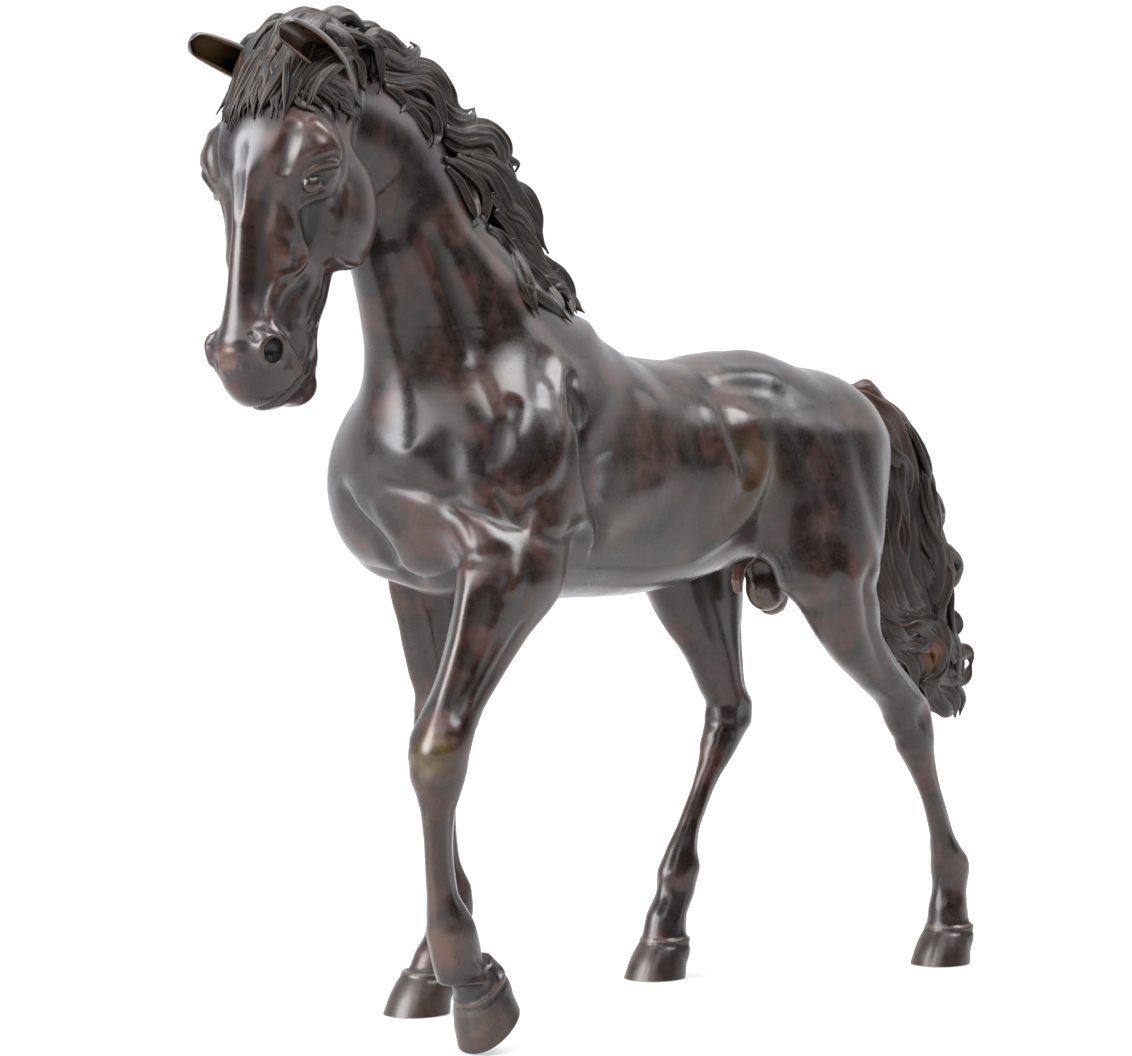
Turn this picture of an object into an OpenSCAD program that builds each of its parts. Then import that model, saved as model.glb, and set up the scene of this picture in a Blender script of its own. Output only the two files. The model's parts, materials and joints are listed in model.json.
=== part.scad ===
// Standing bronze horse, cast in hollow and solid sections that are pinned and welded together.
// Body frame: X to the horse's left, -Y towards its head, +Z up, hooves on Z = 0.

/* [Casting] */
// Wall thickness of the hollow torso, neck and head castings
wall = 4; // [3:0.5:5]
// Radius of the dowel pins that locate the limb castings
dowel_r = 3; // [2:0.5:4]
// Radius of the dowel pins that locate the neck and head castings
neck_dowel_r = 3.5; // [2.5:0.5:4.5]
// Radial clearance of every dowel in its bore
dowel_gap = 0.05; // [0.02:0.01:0.1]
// Radius of the round bronze plugs that close the core-pin holes
plug_r = 1.6; // [1.2:0.1:2.5]

/* [Torso] */
// Half width of the rib cage at its fullest
barrel_half = 50; // [46:1:54]
// Half width over the points of the shoulders
shoulder_half = 53; // [49:1:56]
// Half width over the haunches
haunch_half = 55; // [51:1:58]
// Height of the plane where the four legs join the torso
leg_plane = 200; // [196:1:204]

/* [Legs] */
// Height of the joint between upper and lower leg castings
knee_plane = 112; // [106:1:118]
// Height of the coronet line on the hooves that stand flat
coronet = 20; // [18:1:22]
// Forward tilt of the raised left fore hoof
toe_tilt = 42; // [38:1:45]

/* [Head] */
// How far the head is turned to the horse's left
head_turn = 12; // [8:1:16]
// Length of each ear
ear_length = 52; // [46:1:56]

/* [Detail] */
// Sides of each modelled cross-section
sides = 24; // [16:4:24]

/* [Hidden] */
bronze = [0.20, 0.15, 0.12];
dark_bronze = [0.13, 0.11, 0.10];
brass = [0.62, 0.44, 0.24];
shift = [-0.5, 8.66, 0];
split_y = 8;            // plane where the two torso castings meet
neck_pitch = 27;        // tilt of the plane where the neck joins the torso
neck_at = [0, -104, 296];
poll_at = [0, -184, 398];
poll_pitch = 96;        // tilt of the plane where the head joins the neck
big = 400;

// ---- generic lofts -------------------------------------------------------------------------
// A ring is [centre, u direction, v direction, u radius, +v radius, -v radius]; u cross v points along the loft.
function ring_points(r, n) = [for (i = [0 : n - 1]) let (a = 360 * i / n, s = sin(a))
    r[0] + r[1] * r[3] * cos(a) + r[2] * (s > 0 ? r[4] : r[5]) * s];
module loft(rings, n = sides) {
    m = len(rings);
    pts = [for (r = rings) each ring_points(r, n)];
    side = [for (k = [0 : m - 2], i = [0 : n - 1]) each let (j = (i + 1) % n)
        [[k * n + i, (k + 1) * n + i, (k + 1) * n + j], [k * n + i, (k + 1) * n + j, k * n + j]]];
    polyhedron(points = pts, faces = concat(side, [[for (i = [0 : n - 1]) i]],
        [[for (i = [n - 1 : -1 : 0]) (m - 1) * n + i]]), convexity = 6);
}
// Level sections going down: [z, cx, cy, rx, front radius, back radius]
function down(s, grow = 0) = [for (p = s) [[p[1], p[2], p[0]], [1, 0, 0], [0, -1, 0], p[3] + grow, p[4] + grow, p[5] + grow]];
// Upright sections going back: [y, zc, rx, up radius, down radius]
function back(s, grow = 0) = [for (p = s) [[0, p[0], p[1]], [-1, 0, 0], [0, 0, 1], p[2] + grow, p[3] + grow, p[4] + grow]];
// Sections across a tube that runs in or beside the middle plane: [y, z, pitch, rx, +v radius, -v radius, x]
function sagittal(s, grow = 0) = [for (p = s) [[len(p) > 6 ? p[6] : 0, p[0], p[1]], [1, 0, 0], [0, cos(p[2]), sin(p[2])],
    p[3] + grow, p[4] + grow, p[5] + grow]];
// The same for a tube that runs back and then down: [y, z, pitch, rx, outer radius, inner radius]
function hanging(s, grow = 0) = [for (p = s) [[0, p[0], p[1]], [-1, 0, 0], [0, cos(p[2]), sin(p[2])], p[3] + grow, p[4] + grow, p[5] + grow]];
// Sections going up: [z, rx, +y radius, -y radius]
function up(s) = [for (p = s) [[0, 0, p[0]], [1, 0, 0], [0, 1, 0], p[1], p[2], p[3]]];

module above(p, pitch, off = 0) // the half space on the head side of a tilted plane
    translate(p) rotate([pitch, 0, 0]) translate([-big / 2, -big / 2, off]) cube(big);
module below(p, pitch, off = 0)
    translate(p) rotate([pitch, 0, 0]) translate([-big / 2, -big / 2, off - big]) cube(big);
module pin(at, tilt, from, to, r) translate(at) rotate([tilt, 0, 0]) translate([0, 0, from]) cylinder(h = to - from, r = r, $fn = 32);

// ---- sections ------------------------------------------------------------------------------
torso = [[-169, 248, 26, 18, 20], [-164, 248, 42, 30, 34], [-152, 250, 49, 44, 48], [-128, 252, shoulder_half, 57, 58],
    [-100, 254, shoulder_half, 66, 61], [-72, 256, shoulder_half - 1, 68, 63], [-48, 257, barrel_half, 68, 64],
    [-20, 255, barrel_half, 60, 62], [8, 254, barrel_half, 57, 58], [35, 257, barrel_half + 2, 57, 54],
    [66, 262, haunch_half - 1, 55, 52], [96, 262, haunch_half, 51, 52], [124, 260, haunch_half - 4, 46, 50],
    [145, 257, haunch_half - 12, 41, 43], [157, 257, 28, 34, 31]];
neck = [[-104, 296, 27, 40, 65, 68], [-112, 308, 36, 35, 59, 60], [-124, 324, 46, 31, 52, 51], [-138, 343, 57, 27, 43, 43],
    [-151, 362, 68, 24, 37, 38], [-164, 380, 80, 22, 33, 34], [-176, 392, 90, 20, 30, 32], [-184, 398, 96, 19, 28, 33]];
// Behind the poll plane the head casting carries the neck on into the skull
nape = [[-182, 398, 96, 19, 28, 33], [-200, 396, 98, 20, 28, 34], [-222, 392, 102, 18, 24, 28]];
// In the head's own frame, forward is -Y from the axis the head turns on
skull = [[437, 0, -32, 10, 14, 14], [431, 0, -34, 17, 22, 20], [418, 0, -38, 22, 27, 24], [402, 0, -44, 25, 30, 28], [388, 0, -49, 27, 31, 29],
    [372, 0, -52, 30, 30, 30], [356, 0, -53, 27, 31, 32], [341, 0, -58, 22, 28.5, 29], [323, 0, -61, 18, 27, 28],
    [308, 0, -66, 18, 24, 24], [297, 0, -68, 19, 26, 26], [287, 0, -66, 17, 25, 25], [278, 0, -67, 10, 15, 15]];
lf_arm = [[leg_plane, 49, -146, 18, 28, 30], [178, 48, -160, 14, 19, 21], [161, 47, -170, 12, 15, 17], [148, 46, -178, 12.5, 13, 14],
    [136, 46, -184, 13.5, 13, 13], [125, 46, -186, 12.5, 12, 12], [knee_plane, 46, -186, 9, 9.5, 9.5]];
lf_shin = [[knee_plane, 46, -186, 9, 9.5, 9.5], [104, 46, -186, 7, 8, 8], [89, 46, -185.5, 5.8, 7, 7], [72, 46, -184, 6.3, 7, 8],
    [60, 46, -181, 8.5, 9, 12], [50, 46, -178, 9.5, 11, 13], [41, 46, -175, 10, 12, 12.5]];
lf_coronet = [[46.5, -171, 31], [1, 0, 0], [0, -cos(20), -sin(20)], 11.5, 13.5, 14];
lf_toe = [47, -167, 0];
lf_sole = [lf_toe + 15.5 * [0, cos(toe_tilt), sin(toe_tilt)], [1, 0, 0], [0, -cos(toe_tilt), -sin(toe_tilt)], 14, 15.5, 14.5];
rf_arm = [[leg_plane, -49, -94, 18, 27, 30], [178, -49, -94, 14.5, 20, 22], [158, -49, -92, 12.5, 16, 17], [146, -48, -91, 12.5, 13, 14],
    [136, -48, -91, 13, 13, 13], [125, -47, -91, 12, 12, 12], [knee_plane, -47, -91.5, 9, 9.5, 9.5]];
rf_shin = [[knee_plane, -47, -91.5, 9, 9.5, 9.5], [104, -47, -91.5, 7, 8, 8], [89, -47, -91, 5.8, 7, 7], [72, -47, -90, 6.3, 7, 8],
    [56, -47, -88, 8.5, 9, 12], [46, -47, -87.5, 9.5, 10, 13], [36, -47, -89, 9, 10, 12], [27, -47, -94, 10.5, 11, 13], [coronet, -47, -98, 11.8, 12.5, 13]];
lh_arm = [[leg_plane, 49, 74, 19, 28, 30], [188, 48, 88, 17, 24, 26], [175, 46, 99, 14, 20, 21], [160, 44, 116, 12, 18, 20], [146, 42, 138, 11, 17, 18],
    [137, 41.5, 149, 10.5, 15, 16], [127, 41, 157, 10, 14, 13], [119, 41, 160, 9.5, 12, 12], [knee_plane, 40.5, 163, 8.5, 10.5, 10.5]];
lh_shin = [[knee_plane, 40.5, 163, 8.5, 10.5, 10.5], [101, 40, 170, 6.8, 8.5, 8.5], [85, 40, 179, 5.6, 7, 7], [69, 39, 187, 6, 7, 7.5], [58, 39, 191, 7.5, 9, 10.5],
    [48, 38, 196, 8.8, 11, 12], [38, 38, 195, 8.5, 10, 11], [28, 38, 194, 10, 11, 12], [coronet, 38, 194, 11.8, 12.5, 13]];
rh_arm = [[leg_plane, -45, 86, 19, 32, 33], [189, -44, 90, 17, 30, 30], [173, -43, 95, 14, 24, 24], [158, -42, 101, 12, 17, 18], [142, -41, 107, 10.5, 14, 14],
    [134, -40, 110, 10, 13.5, 14], [126, -40, 110, 9.8, 13.5, 13.5], [119, -40, 105, 9.5, 12.5, 12.5], [knee_plane, -39.5, 101, 8.5, 10.5, 10.5]];
rh_shin = [[knee_plane, -39.5, 101, 8.5, 10.5, 10.5], [103, -39, 95, 7, 8.5, 8.5], [91, -39, 87.5, 5.6, 7, 7], [77, -38, 78, 5.6, 7, 7], [62, -38, 70, 7.5, 9, 9.5],
    [52, -38, 67, 8.8, 11, 12], [42, -38, 65, 9, 11, 11.5], [30, -38, 58, 10, 11, 12], [coronet, -38, 56, 11.8, 12.5, 13]];
tail_s = [[152, 291, 90, 9, 9, 9], [166, 290, 84, 13, 11, 12], [180, 283, 60, 17, 16, 14], [191, 271, 36, 19, 20, 17],
    [199, 254, 16, 20, 24, 21], [206, 234, 6, 21, 29, 27], [211, 212, 4, 21, 34, 34], [214, 190, 6, 20, 36, 34], [221, 170, 14, 18, 32, 32],
    [232, 153, 24, 15, 33, 30], [244, 139, 30, 11, 24, 20], [253, 127, 34, 5, 9, 7]];
mane_s = [[-206, 437, 272, 17, 8, 9], [-198, 436, 267, 22, 13, 13], [-184, 432, 258, 25, 16, 15], [-166, 424, 248, 26, 18, 16],
    [-148, 411, 238, 26, 18, 16], [-128, 393, 230, 26, 18, 17], [-108, 375, 228, 25, 18, 16], [-90, 358, 228, 22, 16, 14],
    [-73, 343, 228, 16, 12, 12], [-60, 332, 228, 9, 8, 10]];
side_lock = [[-176, 418, 258, 5, 8, 9], [-158, 404, 243, 8, 13, 12], [-138, 384, 234, 9, 14, 13], [-118, 364, 229, 10, 14, 13],
    [-100, 347, 228, 9, 12, 12], [-84, 333, 230, 6, 8, 9]];
forelock_s = [[442, 0, -26, 12, 14, 12], [436, 0, -34, 22, 24, 18], [422, 0, -42, 27, 28, 20], [406, 0, -50, 29, 29, 16],
    [395, 0, -56, 26, 27, 12], [387, 0, -60, 15, 22, 6]];
ear_s = [[0, 6, 6, 6], [10, 8.5, 7.5, 7.5], [22, 9.5, 8, 8], [34, 8.5, 7, 7], [44, 5.5, 4.8, 4.8], [ear_length, 1.6, 1.4, 1.4]];
leg_tops = [[49, -146], [-49, -94], [49, 74], [-45, 86]];
knees = [[46, -186], [-47, -91.5], [40.5, 163], [-39.5, 101]];
plugs = [[40, -48, 262, 90], [40, 40, 262, 90], [-40, -48, 262, -90], [-40, 40, 262, -90]];

// ---- torso castings ------------------------------------------------------------------------
module torso_solid(grow = 0) difference() {
    union() {
        loft(back(torso, grow));
        loft(down(concat([[264, 22, -104, 20, 34, 34], [240, 36, -126, 18, 32, 32], [216, 46, -141, 18, 29, 31]], [lf_arm[0]]), grow));
        loft(down(concat([[264, -22, -104, 20, 34, 34], [240, -36, -100, 18, 30, 32], [216, -46, -95, 18, 28, 30]], [rf_arm[0]]), grow));
        loft(down(concat([[268, 24, 92, 22, 40, 42], [240, 35, 84, 22, 38, 42], [216, 45, 76, 21, 31, 35]], [lh_arm[0]]), grow));
        loft(down(concat([[268, -24, 92, 22, 40, 42], [240, -35, 92, 22, 38, 42], [216, -43, 88, 20, 34, 36]], [rh_arm[0]]), grow));
    }
    above(neck_at, neck_pitch, grow);
}
module cavity() difference() {
    loft(back([for (k = [1 : len(torso) - 2]) torso[k]], -wall - 1));
    above(neck_at, neck_pitch, -wall);
    for (p = leg_tops) translate([p[0], p[1], leg_plane - 10]) cylinder(h = 26, r = 9, $fn = 32);
}
module torso_bores() {
    for (p = leg_tops) pin([p[0], p[1], leg_plane], 0, -11, 11, dowel_r + dowel_gap);
    for (x = [-20, 20]) pin(neck_at + [x, 0, 0], neck_pitch, -12, 12, neck_dowel_r + dowel_gap);
    for (p = plugs) translate([p[0], p[1], p[2]]) rotate([0, p[3], 0]) cylinder(h = 20, r = plug_r + dowel_gap, $fn = 24);
    pin([0, 120, 291], -90, 0, 50, dowel_r + dowel_gap);
}
module forequarter_shell() color(bronze) difference() {
    torso_solid();
    cavity();
    torso_bores();
    translate([-big / 2, split_y, 0]) cube(big);
}
module hindquarter_shell() color(bronze) difference() {
    torso_solid();
    cavity();
    torso_bores();
    translate([-big / 2, split_y - big, 0]) cube(big);
}

// ---- neck and head -------------------------------------------------------------------------
module neck_solid(grow = 0) loft(sagittal(neck, grow));
module neck_shell() color(bronze) difference() {
    neck_solid();
    difference() {
        loft(sagittal(neck, -wall));
        below(neck_at, neck_pitch, wall);
        above(poll_at, poll_pitch, -wall);
    }
    for (x = [-20, 20]) pin(neck_at + [x, 0, 0], neck_pitch, -12, 12, neck_dowel_r + dowel_gap);
    pin(poll_at, poll_pitch, -12, 12, neck_dowel_r + dowel_gap);
}
module in_head() translate([0, -190, 0]) rotate([0, 0, head_turn]) children();
module head_solid(grow = 0) difference() {
    union() {
        in_head() loft(down(skull, grow));
        loft(sagittal(nape, grow));
    }
    below(poll_at, poll_pitch, -grow);
}
module head_shell() color(bronze) difference() {
    head_solid();
    difference() {
        in_head() loft(down([for (k = [1 : len(skull) - 3]) skull[k]], -wall - 1));
        below(poll_at, poll_pitch, wall);
    }
    // nostrils and the parted lips
    in_head() for (x = [-1, 1]) translate([x * 13, -89, 301]) rotate([-20, x * 55, 0]) cylinder(h = 16, r = 4, $fn = 32);
    in_head() translate([0, -50, 287]) rotate([38, 0, 0]) translate([-30, -3, -9]) cube([60, 2, 18]);
    pin(poll_at, poll_pitch, -12, 12, neck_dowel_r + dowel_gap);
}
module ear(side) in_head() translate([side * 15, -26, 409]) rotate([0, 0, side * 8]) rotate([66, 0, 0]) rotate([0, 0, side * 45]) children();
module ear_casting(side) difference() {
    ear(side) difference() {
        loft(up(ear_s));
        translate([0, -5.5, 9]) loft(up([[0, 3, 4, 6], [10, 6, 5, 8], [22, 6, 5, 8], [32, 3.5, 4, 7], [38, 1.5, 2, 6]]));
    }
    head_solid(0.05);
}
module left_ear() color(bronze) ear_casting(1);
module right_ear() color(bronze) ear_casting(-1);

// ---- hair ----------------------------------------------------------------------------------
module forelock() color(dark_bronze) difference() {
    in_head() loft(down(forelock_s));
    head_solid(0.05);
    for (s = [-1, 1]) ear(s) loft(up([for (e = ear_s) [e[0], e[1] + 0.1, e[2] + 0.1, e[3] + 0.1]]));
}
module mane_solid(grow = 0) loft(sagittal(mane_s, grow));
module mane_crest() color(dark_bronze) difference() {
    mane_solid();
    neck_solid(0.05);
    head_solid(0.05);
    difference() {
        loft(back(torso, 0.05));
        above(neck_at, neck_pitch, 0.05);
    }
    in_head() loft(down(forelock_s, 0.05));
}
module mane_side(side) difference() {
    loft(sagittal([for (p = side_lock) concat(p, [side * 19])]), 16);
    neck_solid(0.05);
    mane_solid(0.05);
    loft(sagittal(nape, 0.05));
}
module mane_side_locks() color(dark_bronze) { mane_side(1); mane_side(-1); }
module tail() color(dark_bronze) difference() {
    loft(hanging(tail_s));
    loft(back(torso, 0.05));
    pin([0, 120, 291], -90, 0, 50, dowel_r + dowel_gap);
}

// ---- limbs ---------------------------------------------------------------------------------
module upper_leg(s, k) color(bronze) difference() {
    loft(down(s));
    pin([leg_tops[k][0], leg_tops[k][1], leg_plane], 0, -11, 11, dowel_r + dowel_gap);
    pin([knees[k][0], knees[k][1], knee_plane], 0, -9, 9, 2 + dowel_gap);
}
module lower_leg(rings, k, foot, tilt) color(bronze) difference() {
    loft(rings);
    pin([knees[k][0], knees[k][1], knee_plane], 0, -9, 9, 2 + dowel_gap);
    pin(foot, tilt, -7, 7, 2 + dowel_gap);
}
// A hoof standing flat: its coronet ring, the middle of its sole, and a level cut at the ground
module flat_hoof(x, top_y, sole_y) color(dark_bronze) difference() {
    loft(down([[coronet, x, top_y, 11.8, 12.5, 13], [coronet - 3, x, top_y - 1.5, 12.8, 14, 13.5], [-1, x, sole_y, 14.5, 16.5, 15]]));
    translate([x - 40, sole_y - 40, -20]) cube([80, 80, 20]);
    pin([x, top_y, coronet], 0, -7, 7, 2 + dowel_gap);
}
module left_forearm() upper_leg(lf_arm, 0);
module right_forearm() upper_leg(rf_arm, 1);
module left_gaskin() upper_leg(lh_arm, 2);
module right_gaskin() upper_leg(rh_arm, 3);
module left_fore_cannon() lower_leg(concat(down(lf_shin), [lf_coronet]), 0, lf_coronet[0], 20);
module right_fore_cannon() lower_leg(down(rf_shin), 1, [-47, -98, coronet], 0);
module left_hind_cannon() lower_leg(down(lh_shin), 2, [38, 194, coronet], 0);
module right_hind_cannon() lower_leg(down(rh_shin), 3, [-38, 56, coronet], 0);
module left_fore_hoof() color(dark_bronze) difference() {
    loft([lf_coronet, lf_sole]);
    pin(lf_coronet[0], 20, -7, 7, 2 + dowel_gap);
}
module right_fore_hoof() flat_hoof(-47, -98, -107);
module left_hind_hoof() flat_hoof(38, 194, 188);
module right_hind_hoof() flat_hoof(-38, 56, 50);

// ---- underside -----------------------------------------------------------------------------
module sheath() color(bronze) difference() {
    loft(back([[28, 203, 4, 5, 3], [38, 202, 8, 8, 7], [52, 201, 9, 10, 8], [66, 200, 8, 10, 8], [74, 200, 4, 5, 4]]), 16);
    loft(back(torso, 0.05));
}
module scrotum() color(bronze) difference() {
    union() {
        translate([-7, 95, 197]) sphere(r = 10, $fn = 32);
        translate([7, 99, 197]) sphere(r = 10, $fn = 32);
        loft(down([[222, 0, 98, 10, 10, 10], [200, 0, 97, 12, 10, 10]]), 16);
    }
    loft(back(torso, 0.05));
}

// ---- pins and plugs ------------------------------------------------------------------------
module neck_dowels() color(brass) for (x = [-20, 20]) pin(neck_at + [x, 0, 0], neck_pitch, -10, 10, neck_dowel_r);
module head_dowel() color(brass) pin(poll_at, poll_pitch, -10, 10, neck_dowel_r);
module leg_dowels() color(brass) for (p = leg_tops) pin([p[0], p[1], leg_plane], 0, -10, 10, dowel_r);
module knee_dowels() color(brass) for (p = knees) pin([p[0], p[1], knee_plane], 0, -8, 8, 2);
module hoof_dowels() color(brass) {
    pin(lf_coronet[0], 20, -6, 6, 2);
    for (p = [[-47, -98], [38, 194], [-38, 56]]) pin([p[0], p[1], coronet], 0, -6, 6, 2);
}
module tail_dowel() color(brass) pin([0, 135, 291], -90, 0, 30, dowel_r);
module core_plugs() color(brass) intersection() {
    loft(back(torso));
    for (p = plugs) translate([p[0] > 0 ? p[0] + 3 : p[0] - 3, p[1], p[2]]) rotate([0, p[3], 0]) cylinder(h = 20, r = plug_r, $fn = 24);
}

translate(shift) {
    forequarter_shell();
    hindquarter_shell();
    neck_shell();
    head_shell();
    left_ear();
    right_ear();
    forelock();
    mane_crest();
    mane_side_locks();
    tail();
    left_forearm();
    left_fore_cannon();
    left_fore_hoof();
    right_forearm();
    right_fore_cannon();
    right_fore_hoof();
    left_gaskin();
    left_hind_cannon();
    left_hind_hoof();
    right_gaskin();
    right_hind_cannon();
    right_hind_hoof();
    sheath();
    scrotum();
    neck_dowels();
    head_dowel();
    leg_dowels();
    knee_dowels();
    hoof_dowels();
    tail_dowel();
    core_plugs();
}
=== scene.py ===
# Blender scene for the bronze horse: sculpted castings, chased hair, patina, studio.
import json
import math
import time

import bmesh
import bpy
import numpy as np
import openvdb
from mathutils import Matrix, Vector

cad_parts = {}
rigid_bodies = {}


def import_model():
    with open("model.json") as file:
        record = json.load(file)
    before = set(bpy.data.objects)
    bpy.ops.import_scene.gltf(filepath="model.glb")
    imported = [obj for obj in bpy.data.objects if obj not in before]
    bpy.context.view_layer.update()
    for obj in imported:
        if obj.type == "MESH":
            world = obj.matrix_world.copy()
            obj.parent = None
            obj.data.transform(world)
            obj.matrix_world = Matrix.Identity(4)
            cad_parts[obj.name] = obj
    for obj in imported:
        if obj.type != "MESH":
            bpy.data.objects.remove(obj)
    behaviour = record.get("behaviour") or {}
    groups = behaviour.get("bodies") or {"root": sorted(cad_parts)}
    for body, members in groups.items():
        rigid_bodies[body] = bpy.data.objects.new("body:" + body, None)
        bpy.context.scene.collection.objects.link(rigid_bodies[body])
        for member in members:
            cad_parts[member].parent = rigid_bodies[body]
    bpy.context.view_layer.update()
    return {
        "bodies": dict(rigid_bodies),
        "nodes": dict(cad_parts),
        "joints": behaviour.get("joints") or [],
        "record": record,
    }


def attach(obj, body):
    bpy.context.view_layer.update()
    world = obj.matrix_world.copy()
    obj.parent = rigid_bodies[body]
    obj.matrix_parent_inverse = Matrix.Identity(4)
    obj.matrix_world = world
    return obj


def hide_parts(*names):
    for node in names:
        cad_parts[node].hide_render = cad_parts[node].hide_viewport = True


T0 = time.time()
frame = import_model()
SHIFT = np.array([-0.5, 8.66, 0.0])     # sculpting frame (mm, middle plane at x = 0) to the part's frame
H_BODY = 1.15         # voxel size of the trunk, neck and limbs, mm
H_HEAD = 0.8          # voxel size of the head, mm


def log(*a):
    print("[scene %.1fs]" % (time.time() - T0), *a, flush=True)


# ------------------------------------------------------------------ camera, studio, floor
def area_light(name, loc, target, size, power, color=(1, 1, 1)):
    li = bpy.data.lights.new(name, "AREA")
    li.shape = "RECTANGLE"
    li.size, li.size_y = size
    li.energy = power
    li.color = color
    ob = bpy.data.objects.new(name, li)
    bpy.context.scene.collection.objects.link(ob)
    ob.location = loc
    d = Vector(target) - Vector(loc)
    ob.rotation_euler = d.to_track_quat("-Z", "Y").to_euler()
    return ob


def studio():
    scene = bpy.context.scene
    scene.view_settings.view_transform = "Standard"
    az = math.radians(43.0)
    cam = bpy.data.cameras.new("camera")
    cam.lens, cam.sensor_width, cam.sensor_fit = 95.4, 36.0, "HORIZONTAL"
    cam.shift_y = -0.0071
    cam.clip_start, cam.clip_end = 0.05, 30.0
    ob = bpy.data.objects.new("camera", cam)
    scene.collection.objects.link(ob)
    ob.location = ((958.8 + SHIFT[0]) / 1000, (-1085.0 + SHIFT[1]) / 1000, 0.230)
    ob.rotation_euler = (math.radians(90), 0, az)
    scene.camera = ob

    world = bpy.data.worlds.new("studio")
    scene.world = world
    world.use_nodes = True
    nt = world.node_tree
    nt.nodes.clear()
    out = nt.nodes.new("ShaderNodeOutputWorld")
    bg = nt.nodes.new("ShaderNodeBackground")
    nt.links.new(bg.outputs[0], out.inputs[0])
    # camera right and forward on the ground
    r = Vector((math.cos(az), math.sin(az), 0))
    f = Vector((-math.sin(az), math.cos(az), 0))
    up = Vector((0, 0, 1))
    mid = Vector((0, 0, 0.24))
    # white sweep behind the bronze, dim room in front of it
    tc = nt.nodes.new("ShaderNodeTexCoord")
    dot = nt.nodes.new("ShaderNodeVectorMath")
    dot.operation = "DOT_PRODUCT"
    nt.links.new(tc.outputs["Generated"], dot.inputs[0])
    dot.inputs[1].default_value = tuple(f)
    mr = nt.nodes.new("ShaderNodeMapRange")
    mr.interpolation_type = "SMOOTHSTEP"
    nt.links.new(dot.outputs["Value"], mr.inputs["Value"])
    for k, v in (("From Min", -0.12), ("From Max", 0.85), ("To Min", 0.03), ("To Max", 1.12)):
        mr.inputs[k].default_value = v
    total = mr.outputs["Result"]
    # feathered soft boxes: direction, where the edge starts and ends (cosine), strength
    for d, lo, hi, k in ((-r * 1.1 - f * 0.55 + up * 0.4, 0.76, 0.98, 2.4), (-r * 0.95 - f * 0.65 + up * 0.55, 0.86, 0.99, 12.0), (-r * 0.3 - f * 0.95 + up * 0.85, 0.9, 0.99, 3.0),
                         (up + f * 0.1 - r * 0.1, 0.82, 0.98, 5.0), (r * 0.5 - f * 0.15 + up * 0.82, 0.92, 0.995, 14.0)):
        dn = nt.nodes.new("ShaderNodeVectorMath")
        dn.operation = "DOT_PRODUCT"
        nt.links.new(tc.outputs["Generated"], dn.inputs[0])
        dn.inputs[1].default_value = tuple(d.normalized())
        lobe = nt.nodes.new("ShaderNodeMapRange")
        lobe.interpolation_type = "SMOOTHSTEP"
        nt.links.new(dn.outputs["Value"], lobe.inputs["Value"])
        for key, v in (("From Min", lo), ("From Max", hi), ("To Min", 0.0), ("To Max", k)):
            lobe.inputs[key].default_value = v
        add = nt.nodes.new("ShaderNodeMath")
        add.operation = "ADD"
        nt.links.new(total, add.inputs[0])
        nt.links.new(lobe.outputs["Result"], add.inputs[1])
        total = add.outputs[0]
    # plain white seen straight on, whatever the side it is seen from
    lp = nt.nodes.new("ShaderNodeLightPath")
    plain = nt.nodes.new("ShaderNodeMath")
    plain.operation = "MULTIPLY"
    nt.links.new(lp.outputs["Is Camera Ray"], plain.inputs[0])
    plain.inputs[1].default_value = 1.12
    most = nt.nodes.new("ShaderNodeMath")
    most.operation = "MAXIMUM"
    nt.links.new(total, most.inputs[0])
    nt.links.new(plain.outputs[0], most.inputs[1])
    nt.links.new(most.outputs[0], bg.inputs["Strength"])
    bg.inputs["Color"].default_value = (0.94, 0.965, 1.0, 1)
    area_light("right_soft", mid + r * 1.0 + f * 0.25 + up * 0.85, mid, (0.5, 0.36), 1.5, (0.95, 0.97, 1.0))
    area_light("top_soft", mid + up * 1.2 + f * 0.2 - r * 0.1, mid, (0.8, 0.6), 3, (0.96, 0.98, 1.0))

    me = bpy.data.meshes.new("floor")
    s = 6.0
    me.from_pydata([(-s, -s, -0.0004), (s, -s, -0.0004), (s, s, -0.0004), (-s, s, -0.0004)], [], [(0, 1, 2, 3)])
    floor = bpy.data.objects.new("floor", me)
    scene.collection.objects.link(floor)
    m = bpy.data.materials.new("floor_white")
    m.use_nodes = True
    b = m.node_tree.nodes["Principled BSDF"]
    b.inputs["Base Color"].default_value = (0.33, 0.33, 0.332, 1)
    b.inputs["Emission Color"].default_value = (1, 1, 1, 1)
    b.inputs["Emission Strength"].default_value = 0.45
    b.inputs["Roughness"].default_value = 0.6
    b.inputs["Specular IOR Level"].default_value = 0.1
    me.materials.append(m)


studio()


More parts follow.
